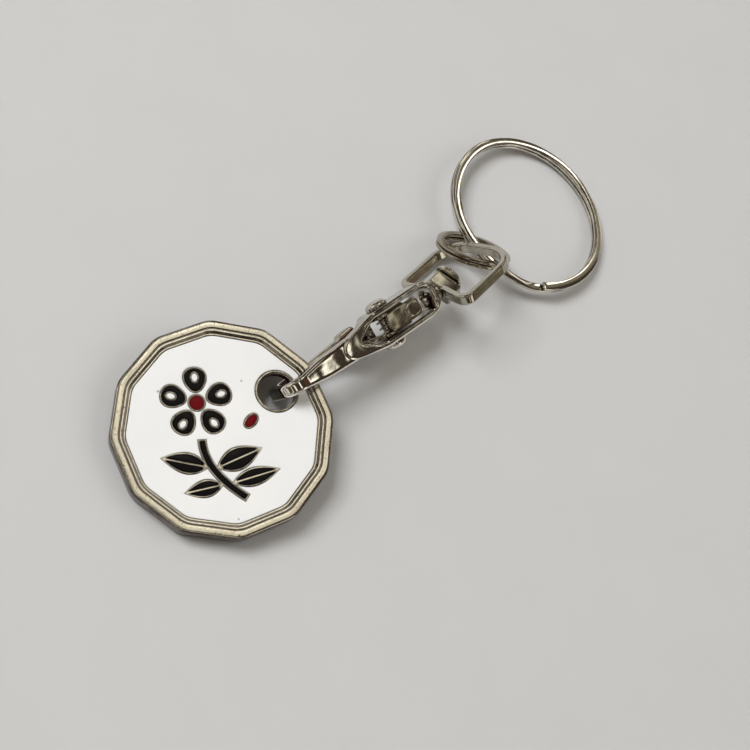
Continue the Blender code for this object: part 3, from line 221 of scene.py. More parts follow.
# The boss's start, length, width, depth and rounding, and its ends' steps as (along, inset).
BOSS = (1.3, 2.2, 3.5, 1.9, 0.45)
BOSS_END = ((0, 0.2), (0.06, 0.06), (0.2, 0))
BOSS_ROLL = 29.5 * DEG
BOSS_SIDESTEP = 0.35
OUTER_HEAD = (3.55, 1.8, 0.8)
BAIL_TURN = (5.7 * DEG, 0, -49.57 * DEG)
BAIL_BASE_X = 0.62
BAIL_LENGTH = 10.13
BAIL_SIDESTEP = -0.12
BAIL_DROP = 0.08
BAIL_WIDTH = 10.7
BAIL_STRIP = 0.8
BAIL_DEPTH = 1.3
BAIL_BASE_CORNER = 0.9
BAIL_FAR_CORNER = 3.4
BAIL_ARCH = 0.9
BAIL_ROUNDING = 0.22
BAIL_CORNER_STEPS = 16
BAIL_BASE_STEPS = 40

# Split rings: radius, strip width, height, gap, rounding, phase.
SMALL_RING = (4.57, 0.95, 1.05, 0.06, 0.14, 230 * DEG)
SMALL_RING_FROM_BAR = Vector((-0.221, 0.6, -1.12))
SMALL_RING_TURN = (47.8 * DEG, 40.3 * DEG)
LARGE_RING = (10.78, 1.16, 1.0, 0.08, 0.16, 246.5 * DEG)
LARGE_LEAD = (0.887, -0.17 * DEG, 8.49 * DEG)
LARGE_RING_TURN = (-11.4 * DEG, 4.64 * DEG)
RING_CRANK = (325 * DEG, 355 * DEG)
RING_END = 683 * DEG
RING_SLACK = 0.02
RING_TWIST = 0.03
RING_STEPS = 150
RING_TIP = 0.05
RING_TIP_SHARE = 0.82

# Looks. The noises' scales are in waves per metre, the bumps' depths in millimetres.
PEEL_SCALE = 420
PATCH_SCALE = 260
SPOT_SCALE = 5200
CLOUD_SCALE = 1100
PLATE_DEPTH = 0.04
RIPPLE_SCALE = 420
RIPPLE_DEPTH = 0.02
TINT_SCALE = 130
DUST_SCALE = 640
DUST = (0.16, 0.15, 0.13, 1)
NICKEL = (0.86, 0.83, 0.76)
# A dark tone for tarnish patches and specks, also used for painted shade in corners and painted dark
# reflection where a face looks aside.
TARNISH_AND_SHADE = (0.1, 0.065, 0.042)
# Each enamel's colour, its deeper tone and its roughness.
ENAMELS = {
    "white": ((0.92, 0.92, 0.905, 1), (0.88, 0.885, 0.88, 1), 0.07),
    "black": ((0.0025, 0.0025, 0.003, 1), (0.005, 0.0045, 0.005, 1), 0.06),
    "red": ((0.15, 0.003, 0.006, 1), (0.1, 0.002, 0.004, 1), 0.06),
}
ENAMEL_SHINE = 0.09
# The small ring's tint is darkened as painted dark reflection; the large ring's is near the nickel tone.
RING_TINTS_AND_SHADE = {"small": (0.46, 0.41, 0.33), "large": (0.82, 0.79, 0.72)}
# How far a face or point looks aside is scaled by the first and lowered by the second, and darkens it as a
# painted dark reflection.
SIDE_SHADE_CRISP = (3.0, 0.0)
SIDE_SHADE_SOFT = (1.25, 0.25)
SHARP_TOKEN = 30 * DEG
SHARP_TURNED = 38 * DEG
SHARP_ENAMEL = 50 * DEG
SHARP_CAST = 70 * DEG

# Studio.
CAMERA_AT = Vector((-51.53, -13.33, 121.31))
CAMERA_RIGHT = Vector((0.6930, -0.6234, 0.3622))
CAMERA_UP = Vector((0.5146, 0.7795, 0.3571))
CAMERA_LENS = 60
CAMERA_NEAR = 0.001
FLOOR_HALF = 1.6
FLOOR_DROP = 0.00002
FLOOR_TONES = ((0.615, 0.613, 0.61, 1), (0.645, 0.643, 0.64, 1))
FLOOR_SCALE = 90
# Each lamp: its name, its place, its width and its power.
LAMPS = (("key", (-0.25, 0.5, 0.7), 0.4, 6.1), ("fill", (0.5, -0.4, 0.6), 0.6, 1.9))
LAMP_COLOUR = (0.97, 0.98, 1.0)
BLACK = (0, 0, 0, 1)
WALL_TONE = (0.015, 0.01, 0.007, 1)
# Patches on the walls: a noise's scale, detail and roughness, where it starts and is full, and its tone.
WALL_PATCHES = (
    (2.4, 2, 0.5, 0.4, 0.6, (0.08, 0.068, 0.048, 1)),
    (9.0, 2, 0.5, 0.6, 0.66, (0.1, 0.004, 0.006, 1)),
    (7.0, 3, 0.55, 0.56, 0.61, (1.15, 1.1, 0.94, 1)),
)
SHADE_TONE = (0.045, 0.035, 0.025, 1)
# A card whose way rises more than this has its top towards y, any other card towards z.
HIGH_CARD = 0.82
# Dark screens: the way to each, its width and height as shares of its distance, and its softness.
SHADES = (
    ((0.5, -0.45, 0.74), 1.0, 0.9, 0.1),
    ((0, -0.43, 0.9), 1.7, 0.56, 0.06),
    ((0.77, 0.05, 0.63), 0.3, 0.24, 0.05),
)
# Bright cards: the same, and a colour.
CARDS = (
    ((0.19, 0.1, 0.976), 0.36, 0.36, 0.06, (0.68, 0.64, 0.5)),
    ((0.77, 0.05, 0.63), 0.26, 0.16, 0.06, (0.20, 0.18, 0.13)),
    ((0.783, 0.085, 0.616), 0.05, 0.1, 0.012, (3.6, 3.5, 3.3)),
    ((0.512, -0.383, 0.769), 0.07, 0.014, 0.008, (1.6, 1.55, 1.35)),
    ((0.497, -0.386, 0.778), 0.12, 0.014, 0.008, (0.16, 0.004, 0.007)),
    ((0.571, -0.357, 0.742), 0.04, 0.014, 0.006, (0.6, 0.57, 0.44)),
    ((0.33, -0.4, 0.85), 0.22, 0.1, 0.02, (0.05, 0.004, 0.006)),
    ((-0.25, -0.39, 0.88), 0.1, 0.16, 0.02, (1.4, 1.35, 1.2)),
    ((0.6, -0.33, 0.728), 0.04, 0.03, 0.006, (1.9, 1.85, 1.7)),
    ((0.59, -0.39, 0.707), 0.05, 0.03, 0.006, (0.08, 0.005, 0.008)),
    ((0.66, -0.74, 0.12), 0.4, 0.3, 0.06, (0.15, 0.14, 0.1)),
    ((-0.6, 0.7, 0.35), 0.6, 0.5, 0.06, (0.8, 0.76, 0.66)),
    ((0.1, -0.9, 0.4), 0.3, 0.5, 0.06, (1.2, 1.15, 1.0)),
)


def shares(steps):
    """The shares from 0 to 1 in so many steps."""
    return [i / steps for i in range(steps + 1)]


def angles(count):
    """So many even turns round a circle."""
    return [CIRCLE * i / count for i in range(count)]


def polar(radius, angle):
    return radius * cos(angle), radius * sin(angle)


def mix(a, b, share):
    return a + (b - a) * share


def placed(name, data):
    """A new object of the data, in the scene."""
    made = bpy.data.objects.new(name, data)
    bpy.context.scene.collection.objects.link(made)
    return made


def solid(name, points, faces):
    """A mesh object of the points and faces, its faces turned outward."""
    mesh = bpy.data.meshes.new(name)
    mesh.from_pydata([tuple(point) for point in points], [], faces)
    shape = bmesh.new()
    shape.from_mesh(mesh)
    bmesh.ops.recalc_face_normals(shape, faces=shape.faces)
    shape.to_mesh(mesh)
    shape.free()
    return placed(name, mesh)


def loft(name, loops, closed=False):
    """A skin over loops of equal counts, capped at both ends or closed on itself."""
    count = len(loops[0])
    points = [point for loop in loops for point in loop]
    faces = []
    for i in range(len(loops) if closed else len(loops) - 1):
        low = i * count
        high = (i + 1) % len(loops) * count
        for j in range(count):
            k = (j + 1) % count
            faces.append((low + j, low + k, high + k, high + j))
    if not closed:
        faces.append(tuple(range(count)))
        faces.append(tuple(range(len(points) - count, len(points))))
    return solid(name, points, faces)


def turned(name, profile, steps, across=False):
    """A profile of (along, radius) turned about x, or about y if across."""
    place = (lambda p: Vector((-p.y, p.x, p.z))) if across else (lambda p: p)
    points = [place(Vector((profile[0][0], 0, 0)))]
    for along, radius in profile[1:-1]:
        points += [place(Vector((along, *polar(radius, angle)))) for angle in angles(steps)]
    points.append(place(Vector((profile[-1][0], 0, 0))))
    faces = []
    last = len(points) - 1
    for i in range(steps):
        j = (i + 1) % steps
        faces.append((0, 1 + i, 1 + j))
        faces.append((last, last - steps + i, last - steps + j))
        for row in range(len(profile) - 3):
            low = 1 + row * steps
            faces.append((low + i, low + j, low + steps + j, low + steps + i))
    return solid(name, points, faces)


def applied(target):
    """Turns the target's modifiers into its mesh."""
    bpy.context.view_layer.update()
    graph = bpy.context.evaluated_depsgraph_get()
    made = bpy.data.meshes.new_from_object(target.evaluated_get(graph))
    target.modifiers.clear()
    used = target.data
    target.data = made
    bpy.data.meshes.remove(used)
    return target


def combine(target, tool, operation):
    """Cuts or joins the target with a tool, which is used up."""
    step = target.modifiers.new(operation.lower(), "BOOLEAN")
    step.operation = operation
    step.solver = "EXACT"
    step.object = tool
    applied(target)
    bpy.data.objects.remove(tool)
    return target


def cut(target, tool):
    return combine(target, tool, "DIFFERENCE")


def join(target, tool):
    return combine(target, tool, "UNION")


def gathered(name, objects):
    """Separate bodies as one mesh."""
    shape = bmesh.new()
    for item in objects:
        shape.from_mesh(item.data)
        bpy.data.objects.remove(item)
    mesh = bpy.data.meshes.new(name)
    shape.to_mesh(mesh)
    shape.free()
    return placed(name, mesh)


def softened(target, voxel, rounds):
    """Gives a cast piece its worn edges and filleted corners."""
    step = target.modifiers.new("remesh", "REMESH")
    step.mode = "VOXEL"
    step.voxel_size = voxel
    step.use_smooth_shade = True
    applied(target)
    step = target.modifiers.new("smooth", "SMOOTH")
    step.factor = 0.5
    step.iterations = rounds
    return applied(target)


def rounded(width, height, radius, corner_points=6):
    """A rounded rectangle round the origin, as (across, up) points."""
    points = []
    for corner, (sx, sy) in enumerate(((1, 1), (-1, 1), (-1, -1), (1, -1))):
        for i in range(corner_points):
            angle = (corner + i / (corner_points - 1)) * CIRCLE / 4
            across = sx * (width / 2 - radius) + radius * cos(angle)
            points.append((across, sy * (height / 2 - radius) + radius * sin(angle)))
    return points


def curve_through(points, steps):
    """A smooth run through the points, with so many steps between each two."""
    points = [np.array(point, float) for point in points]
    made = []
    for i in range(len(points) - 1):
        a = points[max(i - 1, 0)]
        b, c = points[i], points[i + 1]
        d = points[min(i + 2, len(points) - 1)]
        for k in range(steps):
            t = k / steps
            made.append(0.5 * (2 * b + (c - a) * t + (2 * a - 5 * b + 4 * c - d) * t ** 2
                               + (3 * b - a - 3 * c + d) * t ** 3))
    made.append(points[-1])
    return made


def twice_area(points):
    """Twice the area within an outline, negative where it runs clockwise."""
    after = np.roll(points, -1, 0)
    return np.sum(points[:, 0] * after[:, 1] - points[:, 1] * after[:, 0])


def moved_out(outline, distance):
    """A closed outline, moved outward by a distance along its normals."""
    points = np.array(outline)
    along = np.roll(points, -1, 0) - points
    normals = np.stack([along[:, 1], -along[:, 0]], 1)
    normals /= np.linalg.norm(normals, axis=1)[:, None]
    mean = normals + np.roll(normals, 1, 0)
    mean /= np.linalg.norm(mean, axis=1)[:, None]
    reach = 1 / np.maximum(np.sum(mean * normals, 1), np.cos(CIRCLE / 7))
    return [tuple(p) for p in points + np.sign(twice_area(points)) * distance * mean * reach[:, None]]


# Token.
def artwork(u, v):
    """A place in the artwork's upright frame as a place on the token."""
    return (
        u * sin(ART_TURN) + v * cos(ART_TURN),
        v * sin(ART_TURN) - u * cos(ART_TURN),
    )


def art_point(centre, along, across, turn):
    """A place on the token, along and across a turned line from a centre in the artwork."""
    u = centre[0] + along * cos(turn) - across * sin(turn)
    v = centre[1] + along * sin(turn) + across * cos(turn)
    return artwork(u, v)


def oval(centre, length, width, turn):
    points = []
    for angle in angles(OVAL_POINTS):
        along = length / 2 * cos(angle)
        points.append(art_point(centre, along, width / 2 * sin(angle), turn))
    return points


def petal_turn(index):
    return CIRCLE / 4 + CIRCLE * index / PETALS


def petal(index):
    points = []
    for t in angles(PETAL_POINTS):
        radius = mix(PETAL_INNER, PETAL_OUTER, (1 - cos(t)) / 2)
        side = -PETAL_WIDTH / 2 * sin(t) * (1 - PETAL_SKEW * cos(t))
        points.append(art_point(FLOWER, radius, side, petal_turn(index)))
    return points


def spot(index):
    turn = petal_turn(index)
    u, v = polar(SPOT_RADIUS, turn)
    return oval((FLOWER[0] + u, FLOWER[1] + v), SPOT_LENGTH, SPOT_WIDTH, turn)


def stem(grow):
    """The stem's outline, a band of even width along a curve between its ends."""
    ends = [np.array(place) for place in STEM]
    left, right = [], []
    for t in shares(STEM_STEPS):
        middle = (1 - t) ** 2 * ends[0] + 2 * t * (1 - t) * ends[1] + t ** 2 * ends[2]
        along = (1 - t) * (ends[1] - ends[0]) + t * (ends[2] - ends[1])
        along /= np.linalg.norm(along)
        if t in (0, 1):
            middle = middle + along * grow * (1 if t else -1)
        side = np.array([-along[1], along[0]]) * (STEM_WIDTH / 2 + grow)
        left.append(artwork(*(middle + side)))
        right.append(artwork(*(middle - side)))
    return right + left[::-1]


def leaf_point(leaf, s, side, grow):
    """A point of a leaf at a share of its length, off its midrib to one side."""
    base, tip = (np.array(place) for place in leaf[:2])
    along = tip - base
    length = np.linalg.norm(along)
    along /= length
    across = np.array([-along[1], along[0]])
    place = base + along * (s * (length + 2 * grow) - grow)
    return artwork(*(place + across * side))


def leaf_half_width(leaf, s, grow):
    return (leaf[2] / 2 + grow) * max(sin(CIRCLE / 2 * s ** LEAF_BULGE), 0)


def leaf_island(leaf, grow):
    points = []
    for side in (-1, 1):
        for t in shares(LEAF_STEPS)[:-1]:
            s = t if side < 0 else 1 - t
            points.append(leaf_point(leaf, s, side * leaf_half_width(leaf, s, grow), grow))
    return points


def leaf_cell(leaf, side):
    """The outline of one half of a leaf, clear of its midrib."""
    first, last = LEAF_CELL
    edge, rib = [], []
    for i in range(CELL_STEPS + 1):
        s = first + (last - first) * i / CELL_STEPS
        edge.append(leaf_point(leaf, s, side * leaf_half_width(leaf, s, 0), 0))
        if i in (0, CELL_STEPS // 2, CELL_STEPS):
            rib.append(leaf_point(leaf, s, side * METAL_LINE / 2, 0))
    points = edge + rib[::-1]
    return points[::-1] if side > 0 else points


def hole_ring(radius):
    ring = [polar(radius, angle) for angle in angles(HOLE_POINTS)]
    return [(HOLE_OFFSET + x, y - HOLE_SIDESTEP) for x, y in ring]


def coin_outline(inset):
    """The token's rounded 12-sided outline, moved inward."""
    half = CIRCLE / COIN_SIDES / 2
    sharp = COIN_ACROSS / 2 + COIN_CORNER_RUN / 2 * sin(half)
    flat = sharp * cos(half)
    scale = (flat - inset) / flat
    corners = [Vector(polar(sharp, angle)) for angle in angles(COIN_SIDES)]
    points = []
    for i, corner in enumerate(corners):
        before = corner + (corners[i - 1] - corner).normalized() * COIN_CORNER_RUN
        after = corner + (corners[(i + 1) % COIN_SIDES] - corner).normalized() * COIN_CORNER_RUN
        for t in shares(CORNER_STEPS):
            points.append((1 - t) ** 2 * before + 2 * t * (1 - t) * corner + t ** 2 * after)
    return [(point.x * scale, point.y * scale) for point in points]


def stepped(name, outline_at, steps):
    """A body whose outline grows or shrinks by a step at each height."""
    return loft(name, [[(x, y, z) for x, y in outline_at(grow)] for z, grow in steps])


def lined(outline):
    """An outline by its growth, moved out by the width of a metal line."""
    return lambda grow: moved_out(outline, METAL_LINE + grow)


def islands(steps):
    """The raised shapes in the field as one tool after another, each with steps of growth by height."""
    outlines = [
        lambda grow: hole_ring(HOLE_RADIUS + HOLE_COLLAR + grow), lined(oval(*DISC)), lined(oval(*BUD)),
        lambda grow: stem(METAL_LINE + grow), *(lined(petal(i)) for i in range(PETALS)),
    ]
    for leaf in LEAVES:
        outlines.append(lambda grow, leaf=leaf: leaf_island(leaf, METAL_LINE + grow))
    return [stepped("island", outline, steps) for outline in outlines]


def swollen(outline):
    """An outline that grows or shrinks about its middle, so that its sharp ends stay clean."""
    points = np.array(outline)
    middle = points.mean(0)
    size = sqrt(abs(twice_area(points)) / CIRCLE)
    return lambda grow: [tuple(point) for point in middle + (points - middle) * (1 + grow / size)]


def cells():
    """Each small enamel cell as (node, its outline by growth, that of an island in it or None, colour)."""
    found = [(f"enamel_petal_{i + 1}", swollen(petal(i)), lined(spot(i)), "black") for i in range(PETALS)]
    found += [(f"enamel_spot_{i + 1}", swollen(spot(i)), None, "white") for i in range(PETALS)]
    found += [("enamel_flower_disc", swollen(oval(*DISC)), None, "red"), ("enamel_stem", stem, None, "black")]
    for i, leaf in enumerate(LEAVES):
        for side, word in ((1, "left"), (-1, "right")):
            found.append((f"enamel_leaf_{i + 1}_{word}", swollen(leaf_cell(leaf, side)), None, "black"))
    found.append(("enamel_bud", swollen(oval(*BUD)), None, "red"))
    return found


def hole_tool():
    """The cutter for the hole, flared below and stepped above like its struck rings."""
    top = COIN_THICKNESS - FIELD_DROP
    levels = [
        (FIELD_DROP - OVERRUN, HOLE_RADIUS + HOLE_CHAMFER + OVERRUN),
        (FIELD_DROP + HOLE_CHAMFER, HOLE_RADIUS),
    ]
    levels += [(top - depth, HOLE_RADIUS + grow) for depth, grow in HOLE_STEPS]
    return stepped("hole_tool", hole_ring, levels)


def coin_metal():
    """The token's metal, with pockets for the enamel and rounded lines between them."""
    rim = [(drop, inset) for inset, drop in RIM_PROFILE]
    rim += [(COIN_THICKNESS - drop, inset) for drop, inset in rim[::-1]]
    body = stepped("token_metal", coin_outline, rim)
    floor = COIN_THICKNESS - POCKET_DROP
    top = COIN_THICKNESS + OVERRUN
    edge = [(COIN_THICKNESS - FIELD_DROP - depth, grow) for depth, grow in WORN_EDGE]
    wide = edge[-1][1]
    worn = [(floor, 0), *edge, (top, wide)]
    pocket = stepped("field_tool", lambda grow: coin_outline(RIM_TO_FIELD - grow), worn)
    narrowing = [(z, -grow) for z, grow in ((floor - OVERRUN, 0), *edge, (top + OVERRUN, wide))]
    for tool in islands(narrowing):
        pocket = cut(pocket, tool)
    body = cut(body, pocket)
    tools = []
    for name, outline, inner, _ in cells():
        tool = stepped(name + "_tool", outline, worn)
        if inner:
            tool = cut(tool, stepped("island", inner, narrowing))
        tools.append(tool)
    body = cut(body, gathered("cell_tools", tools))
    return cut(body, hole_tool())


def drawn_down(share):
    """The steps of a fill, and of a tool for an island in it, with a share of the edge's growth."""
    low = COIN_THICKNESS - POCKET_DROP + ENAMEL_FLOOR_GAP
    high = COIN_THICKNESS - ENAMEL_DROP + ENAMEL_CROWN
    edge = [(high - depth, grow * share + ENAMEL_GAP) for depth, grow in DRAWN_EDGE]
    inward = [(z, -grow) for z, grow in ((low, ENAMEL_GAP), *edge)]
    return inward, [(low - OVERRUN, ENAMEL_GAP), *edge, (high + OVERRUN, edge[-1][1])]


def enamel_fills():
    """Each fill of enamel as (node, object, colour)."""
    inward, outward = drawn_down(1)
    field = stepped("enamel_field", lambda grow: coin_outline(RIM_TO_FIELD - grow), inward)
    for tool in islands(outward):
        field = cut(field, tool)
    made = [("enamel_field", field, "white")]
    inward, outward = drawn_down(CELL_DRAW)
    for name, outline, inner, colour in cells():
        piece = stepped(name, outline, inward)
        if inner:
            piece = cut(piece, stepped("island", inner, outward))
        made.append((name, piece, colour))
    return made


# Clip.
def spine_loop(x, z, turn, width, thickness):
    """A crowned section across the hook's spine, where the spine heads at a turn in the XZ plane."""
    loop = []
    for across, up in rounded(width, thickness, min(SPINE_ROUNDING, thickness * SPINE_ROUNDING_SHARE)):
        up *= 1 - CROWN * (2 * across / width) ** 2
        loop.append((x - up * sin(turn), across, z + up * cos(turn)))
    return loop


def leaned(loop, level, lean):
    """A loop of the hook's tip or the gate's nose, leaned so that the two meet on a slope."""
    return [(x - NOSE_SLOPE * lean * (z - level), y, z) for x, y, z in loop]


def hook_spine():
    """The hook from its tip, under the token, up through its hole and back over it to the frame."""
    loops = []
    for run, width, thickness, lean in TIP:
        x = HOOK_TIP_X - run * RETURN_THICKNESS
        loop = spine_loop(x, HOOK_RETURN_Z, CIRCLE / 2, RETURN_WIDTH * width, RETURN_THICKNESS * thickness)
        loops.append(leaned(loop, HOOK_RETURN_Z, lean))
    for t in shares(BEND_STEPS):
        turn = CIRCLE / 4 * t
        x = HOOK_FRONT_X + HOOK_LOW_BEND * (1 - sin(turn))
        z = HOOK_RETURN_Z + HOOK_LOW_BEND * (1 - cos(turn))
        thickness = mix(RETURN_THICKNESS, FRONT_THICKNESS, t)
        loops.append(spine_loop(x, z, CIRCLE / 2 - turn, RETURN_WIDTH, thickness))
    for t in shares(BEND_STEPS):
        turn = CIRCLE / 4 * t
        x = HOOK_FRONT_X + HOOK_HIGH_BEND * (1 - cos(turn))
        z = BEAM_Z - HOOK_HIGH_BEND * (1 - sin(turn))
        width = mix(RETURN_WIDTH, BEAM_FRONT_WIDTH, t)
        loops.append(spine_loop(x, z, CIRCLE / 4 - turn, width, FRONT_THICKNESS))
    start = HOOK_FRONT_X + HOOK_HIGH_BEND
    end = BEAM_END_X - BEAM_TUCK
    for run, widening in curve_through(BEAM_RUN, 8)[1:]:
        width = mix(BEAM_FRONT_WIDTH, BEAM_REAR_WIDTH, widening)
        loops.append(spine_loop(mix(start, end, run), BEAM_Z, 0, width, BEAM_THICKNESS))
    width = BEAM_REAR_WIDTH - 2 * BEAM_TUCK_INSET
    loops.append(spine_loop(BEAM_END_X, BEAM_Z, 0, width, BEAM_THICKNESS - 2 * BEAM_TUCK_INSET))
    return loft("clip_casting", loops)


def outline_round(front, side, width, outline, rear, power):
    """The frame's or window's outline, from the middle of its front round to there again."""
    half = [(mix(front, side, along), width / 2 * share) for along, share in curve_through(outline, 3)]
    half += [(mix(side, FRAME_CORNER_X, t), width / 2) for t in shares(FRAME_SIDE_STEPS)[1:-1]]
    for t in shares(FRAME_REAR_STEPS):
        angle = CIRCLE / 4 * (1 - t)
        x = mix(FRAME_CORNER_X, rear, max(cos(angle), 0) ** (2 / power))
        half.append((x, width / 2 * max(sin(angle), 0) ** (2 / power)))
    return half + [(x, -y) for x, y in half[-2:0:-1]]


def frame_bottom(x):
    """The height of the frame's underside, which is lower behind its slope."""
    low, high = FRAME_SLOPE_X
    t = min(max((x - low) / (high - low), 0), 1)
    return FRAME_FRONT_Z + (FRAME_BOTTOM_Z - FRAME_FRONT_Z) * t * t * (3 - 2 * t)


def frame_ring():
    """The ring of metal round the gate."""
    loops = []
    for out, into in zip(outline_round(*FRAME), outline_round(*WINDOW)):
        out, into = Vector(out), Vector(into)
        step = (into - out).normalized() * FRAME_EDGE
        low_out = frame_bottom(out.x)
        low_in = frame_bottom(into.x)
        loops.append([
            (*out, low_out + FRAME_EDGE), (*out, FRAME_TOP_Z - FRAME_EDGE),
            (*(out + step), FRAME_TOP_Z), (*(into - step), FRAME_TOP_Z),
            (*into, FRAME_TOP_Z - FRAME_EDGE), (*into, low_in + FRAME_EDGE),
            (*(into - step), low_in), (*(out + step), low_out),
        ])
    return loft("frame", loops, closed=True)


def rod(length, radius, place, across=False):
    """A round cutter along local x, or y if across, through a place."""
    profile = [(-length / 2, 0), (-length / 2, radius), (length / 2, radius), (length / 2, 0)]
    made = turned("rod", profile, BORE_SIDES, across)
    made.data.transform(Matrix.Translation(place))
    return made


def clip_casting():
    body = join(hook_spine(), frame_ring())
    body = cut(body, rod(FRAME_WIDTH * 2, RIVET_RADIUS + RIVET_CLEARANCE, Vector(), True))
    body = cut(body, rod(SWIVEL_BORE_LENGTH, SWIVEL_BORE / 2, Vector((SWIVEL_AT.x, 0, 0))))
    return softened(body, *CASTING_WEAR)


def gate_arm():
    loops = []
    for along, top, bottom, width in curve_through(GATE_ARM, 3):
        x = mix(GATE_NOSE_X, GATE_ARM_END_X, along)
        section = rounded(width * GATE_SHOULDER, (top - bottom) * GATE_DEPTH, GATE_ROUNDING)
        loop = [(x, across, (top + bottom) / 2 * GATE_DEPTH + up) for across, up in section]
        loops.append(leaned(loop, HOOK_RETURN_Z, np.interp(along, *GATE_LEAN)))
    return loft("gate", loops)


def hub_arc(start, sweep, steps):
    return [polar(HUB_RADIUS, CIRCLE * (start + sweep * i / steps)) for i in range(steps + 1)]


def cheek(side):
    """One of the gate's two cheeks, an outline in the XZ plane with a thickness in Y."""
    rear, front, foot = (GATE_DEPTH * z for z in CHEEK_LOW)
    outline = [(CHEEK_FOOT_X, rear), (GATE_ARM_END_X, front), *hub_arc(*HUB_LOW_ARC)]
    outline += [(CHEEK_ARM_X, CHEEK_TOP_Z / 2), (CHEEK_ARM_X, CHEEK_TOP_Z), (-HUB_RADIUS / 2, CHEEK_TOP_Z)]
    outline += [*hub_arc(*HUB_HIGH_ARC), (CHEEK_FOOT_X, foot)]
    return loft("cheek", [[(x, side * y, z) for x, z in outline] for y in CHEEK_Y])


def slab(front, rear, width, bottom, top, corner, edge):
    """A pad with rounded corners and a softened upper edge."""
    loops = []
    worn = edge * EDGE_BREAK
    for z, inset in ((bottom, 0), (top - edge, 0), (top - worn, worn), (top, edge)):
        points = rounded(rear - front - 2 * inset, width - 2 * inset, corner - inset, 9)
        loops.append([((front + rear) / 2 + x, y, z) for x, y in points])
    return loft("slab", loops)


def gate():
    body = gate_arm()
    for part in (cheek(1), cheek(-1), slab(*PAD), slab(*THUMB)):
        body = join(body, part)
    body = cut(body, rod(FRAME_WIDTH * 2, RIVET_RADIUS + HUB_CLEARANCE, Vector(), True))
    return softened(body, *GATE_WEAR)


def head(seat, radius, height, outward, shank):
    """A domed rivet head's profile, from the shank at its seat to its top."""
    rise = [(seat + outward * height * up, radius * out) for out, up in curve_through(DOME, 4)]
    return [(seat, shank), *rise, (seat + outward * height, 0)]


def gate_rivet():
    near = head(*RIVET_HEAD, 1, RIVET_RADIUS)
    far = [(-along, radius) for along, radius in near[::-1]]
    return turned("gate_pin", far + near, RIVET_SIDES, True)


def wire(name, path, diameter):
    """A round wire along a path of points."""
    path = [Vector(point) for point in path]
    loops = []
    for i, point in enumerate(path):
        along = (path[min(i + 1, len(path) - 1)] - path[max(i - 1, 0)]).normalized()
        side = along.cross(Vector((0, 1, 0))).normalized()
        rise = side.cross(along)
        turns = angles(WIRE_SIDES)
        loops.append([point + (side * cos(a) + rise * sin(a)) * diameter / 2 for a in turns])
    return loft(name, loops)


def gate_spring():
    """A coil round the gate's rivet with one leg under the pad and one under the front of the frame."""
    path = [(SPRING_REAR_X, SPRING_WIDE, SPRING_RADIUS), (SPRING_RADIUS / 2, SPRING_WIDE, SPRING_RADIUS)]
    for i in range(SPRING_STEPS + 1):
        x, z = polar(SPRING_RADIUS, CIRCLE / 4 + SPRING_TURNS * i / SPRING_STEPS)
        path.append((x, SPRING_WIDE - 2 * SPRING_WIDE * i / SPRING_STEPS, z))
    x, z = SPRING_FRONT
    along = SPRING_RADIUS * 2 / -x
    path.append((x * along, -SPRING_WIDE, SPRING_RADIUS + (z - SPRING_RADIUS) * along))
    path.append((x, 0, z))
    return wire("coil_spring", path, SPRING_WIRE)


def swivel_rivet():
    """The rivet through the frame's end wall, the collar and the bail's boss."""
    inner = head(*INNER_HEAD, -1, SHANK_RADIUS)[::-1]
    return turned("swivel_pin", inner + head(*OUTER_HEAD, 1, SHANK_RADIUS), RIVET_SIDES)


def swivel_collar():
    """The spacer between the frame and the bail, a section with rounded edges turned about x."""
    low, high, radius, edge = COLLAR
    bore = SHANK_RADIUS + SHANK_CLEARANCE
    arc = [polar(edge, CIRCLE / 4 * k / COLLAR_EDGE_STEPS) for k in range(1, COLLAR_EDGE_STEPS + 1)]
    rim = [(low, bore), (low, radius - edge)]
    rim += [(low + edge - along, radius - edge + up) for along, up in arc]
    rim += [(high - edge + along, radius - edge + up) for up, along in arc]
    rim.append((high, bore))
    loops = [[(x, *polar(size, angle)) for x, size in rim] for angle in angles(COLLAR_SIDES)]
    return loft("swivel_washer", loops, closed=True)


def bail_path():
    """The bail's centreline and its outward turns, as (x, y, turn)."""
    near = BAIL_BASE_X + BAIL_STRIP / 2
    far = BAIL_BASE_X + BAIL_LENGTH - BAIL_STRIP / 2
    left = BAIL_SIDESTEP + BAIL_WIDTH / 2 - BAIL_STRIP / 2
    right = left - BAIL_WIDTH + BAIL_STRIP
    path = []
    corners = ((far, left, 1, 1), (near, left, -1, 1), (near, right, -1, -1), (far, right, 1, -1))
    for quarter, (x, y, sx, sy) in enumerate(corners):
        radius = BAIL_FAR_CORNER if sx > 0 else BAIL_BASE_CORNER
        for t in shares(BAIL_CORNER_STEPS):
            turn = CIRCLE / 4 * (quarter + t)
            along, across = polar(radius, turn)
            path.append((x - sx * radius + along, y - sy * radius + across, turn))
        if quarter == 1:
            start, end = left - BAIL_BASE_CORNER, right + BAIL_BASE_CORNER
            for t in shares(BAIL_BASE_STEPS)[1:-1]:
                slope = BAIL_ARCH * pi * sin(CIRCLE * t) / (start - end)
                bow = BAIL_ARCH * (1 - cos(CIRCLE * t)) / 2
                path.append((near + bow, mix(start, end, t), CIRCLE / 2 + atan(slope)))
    return path


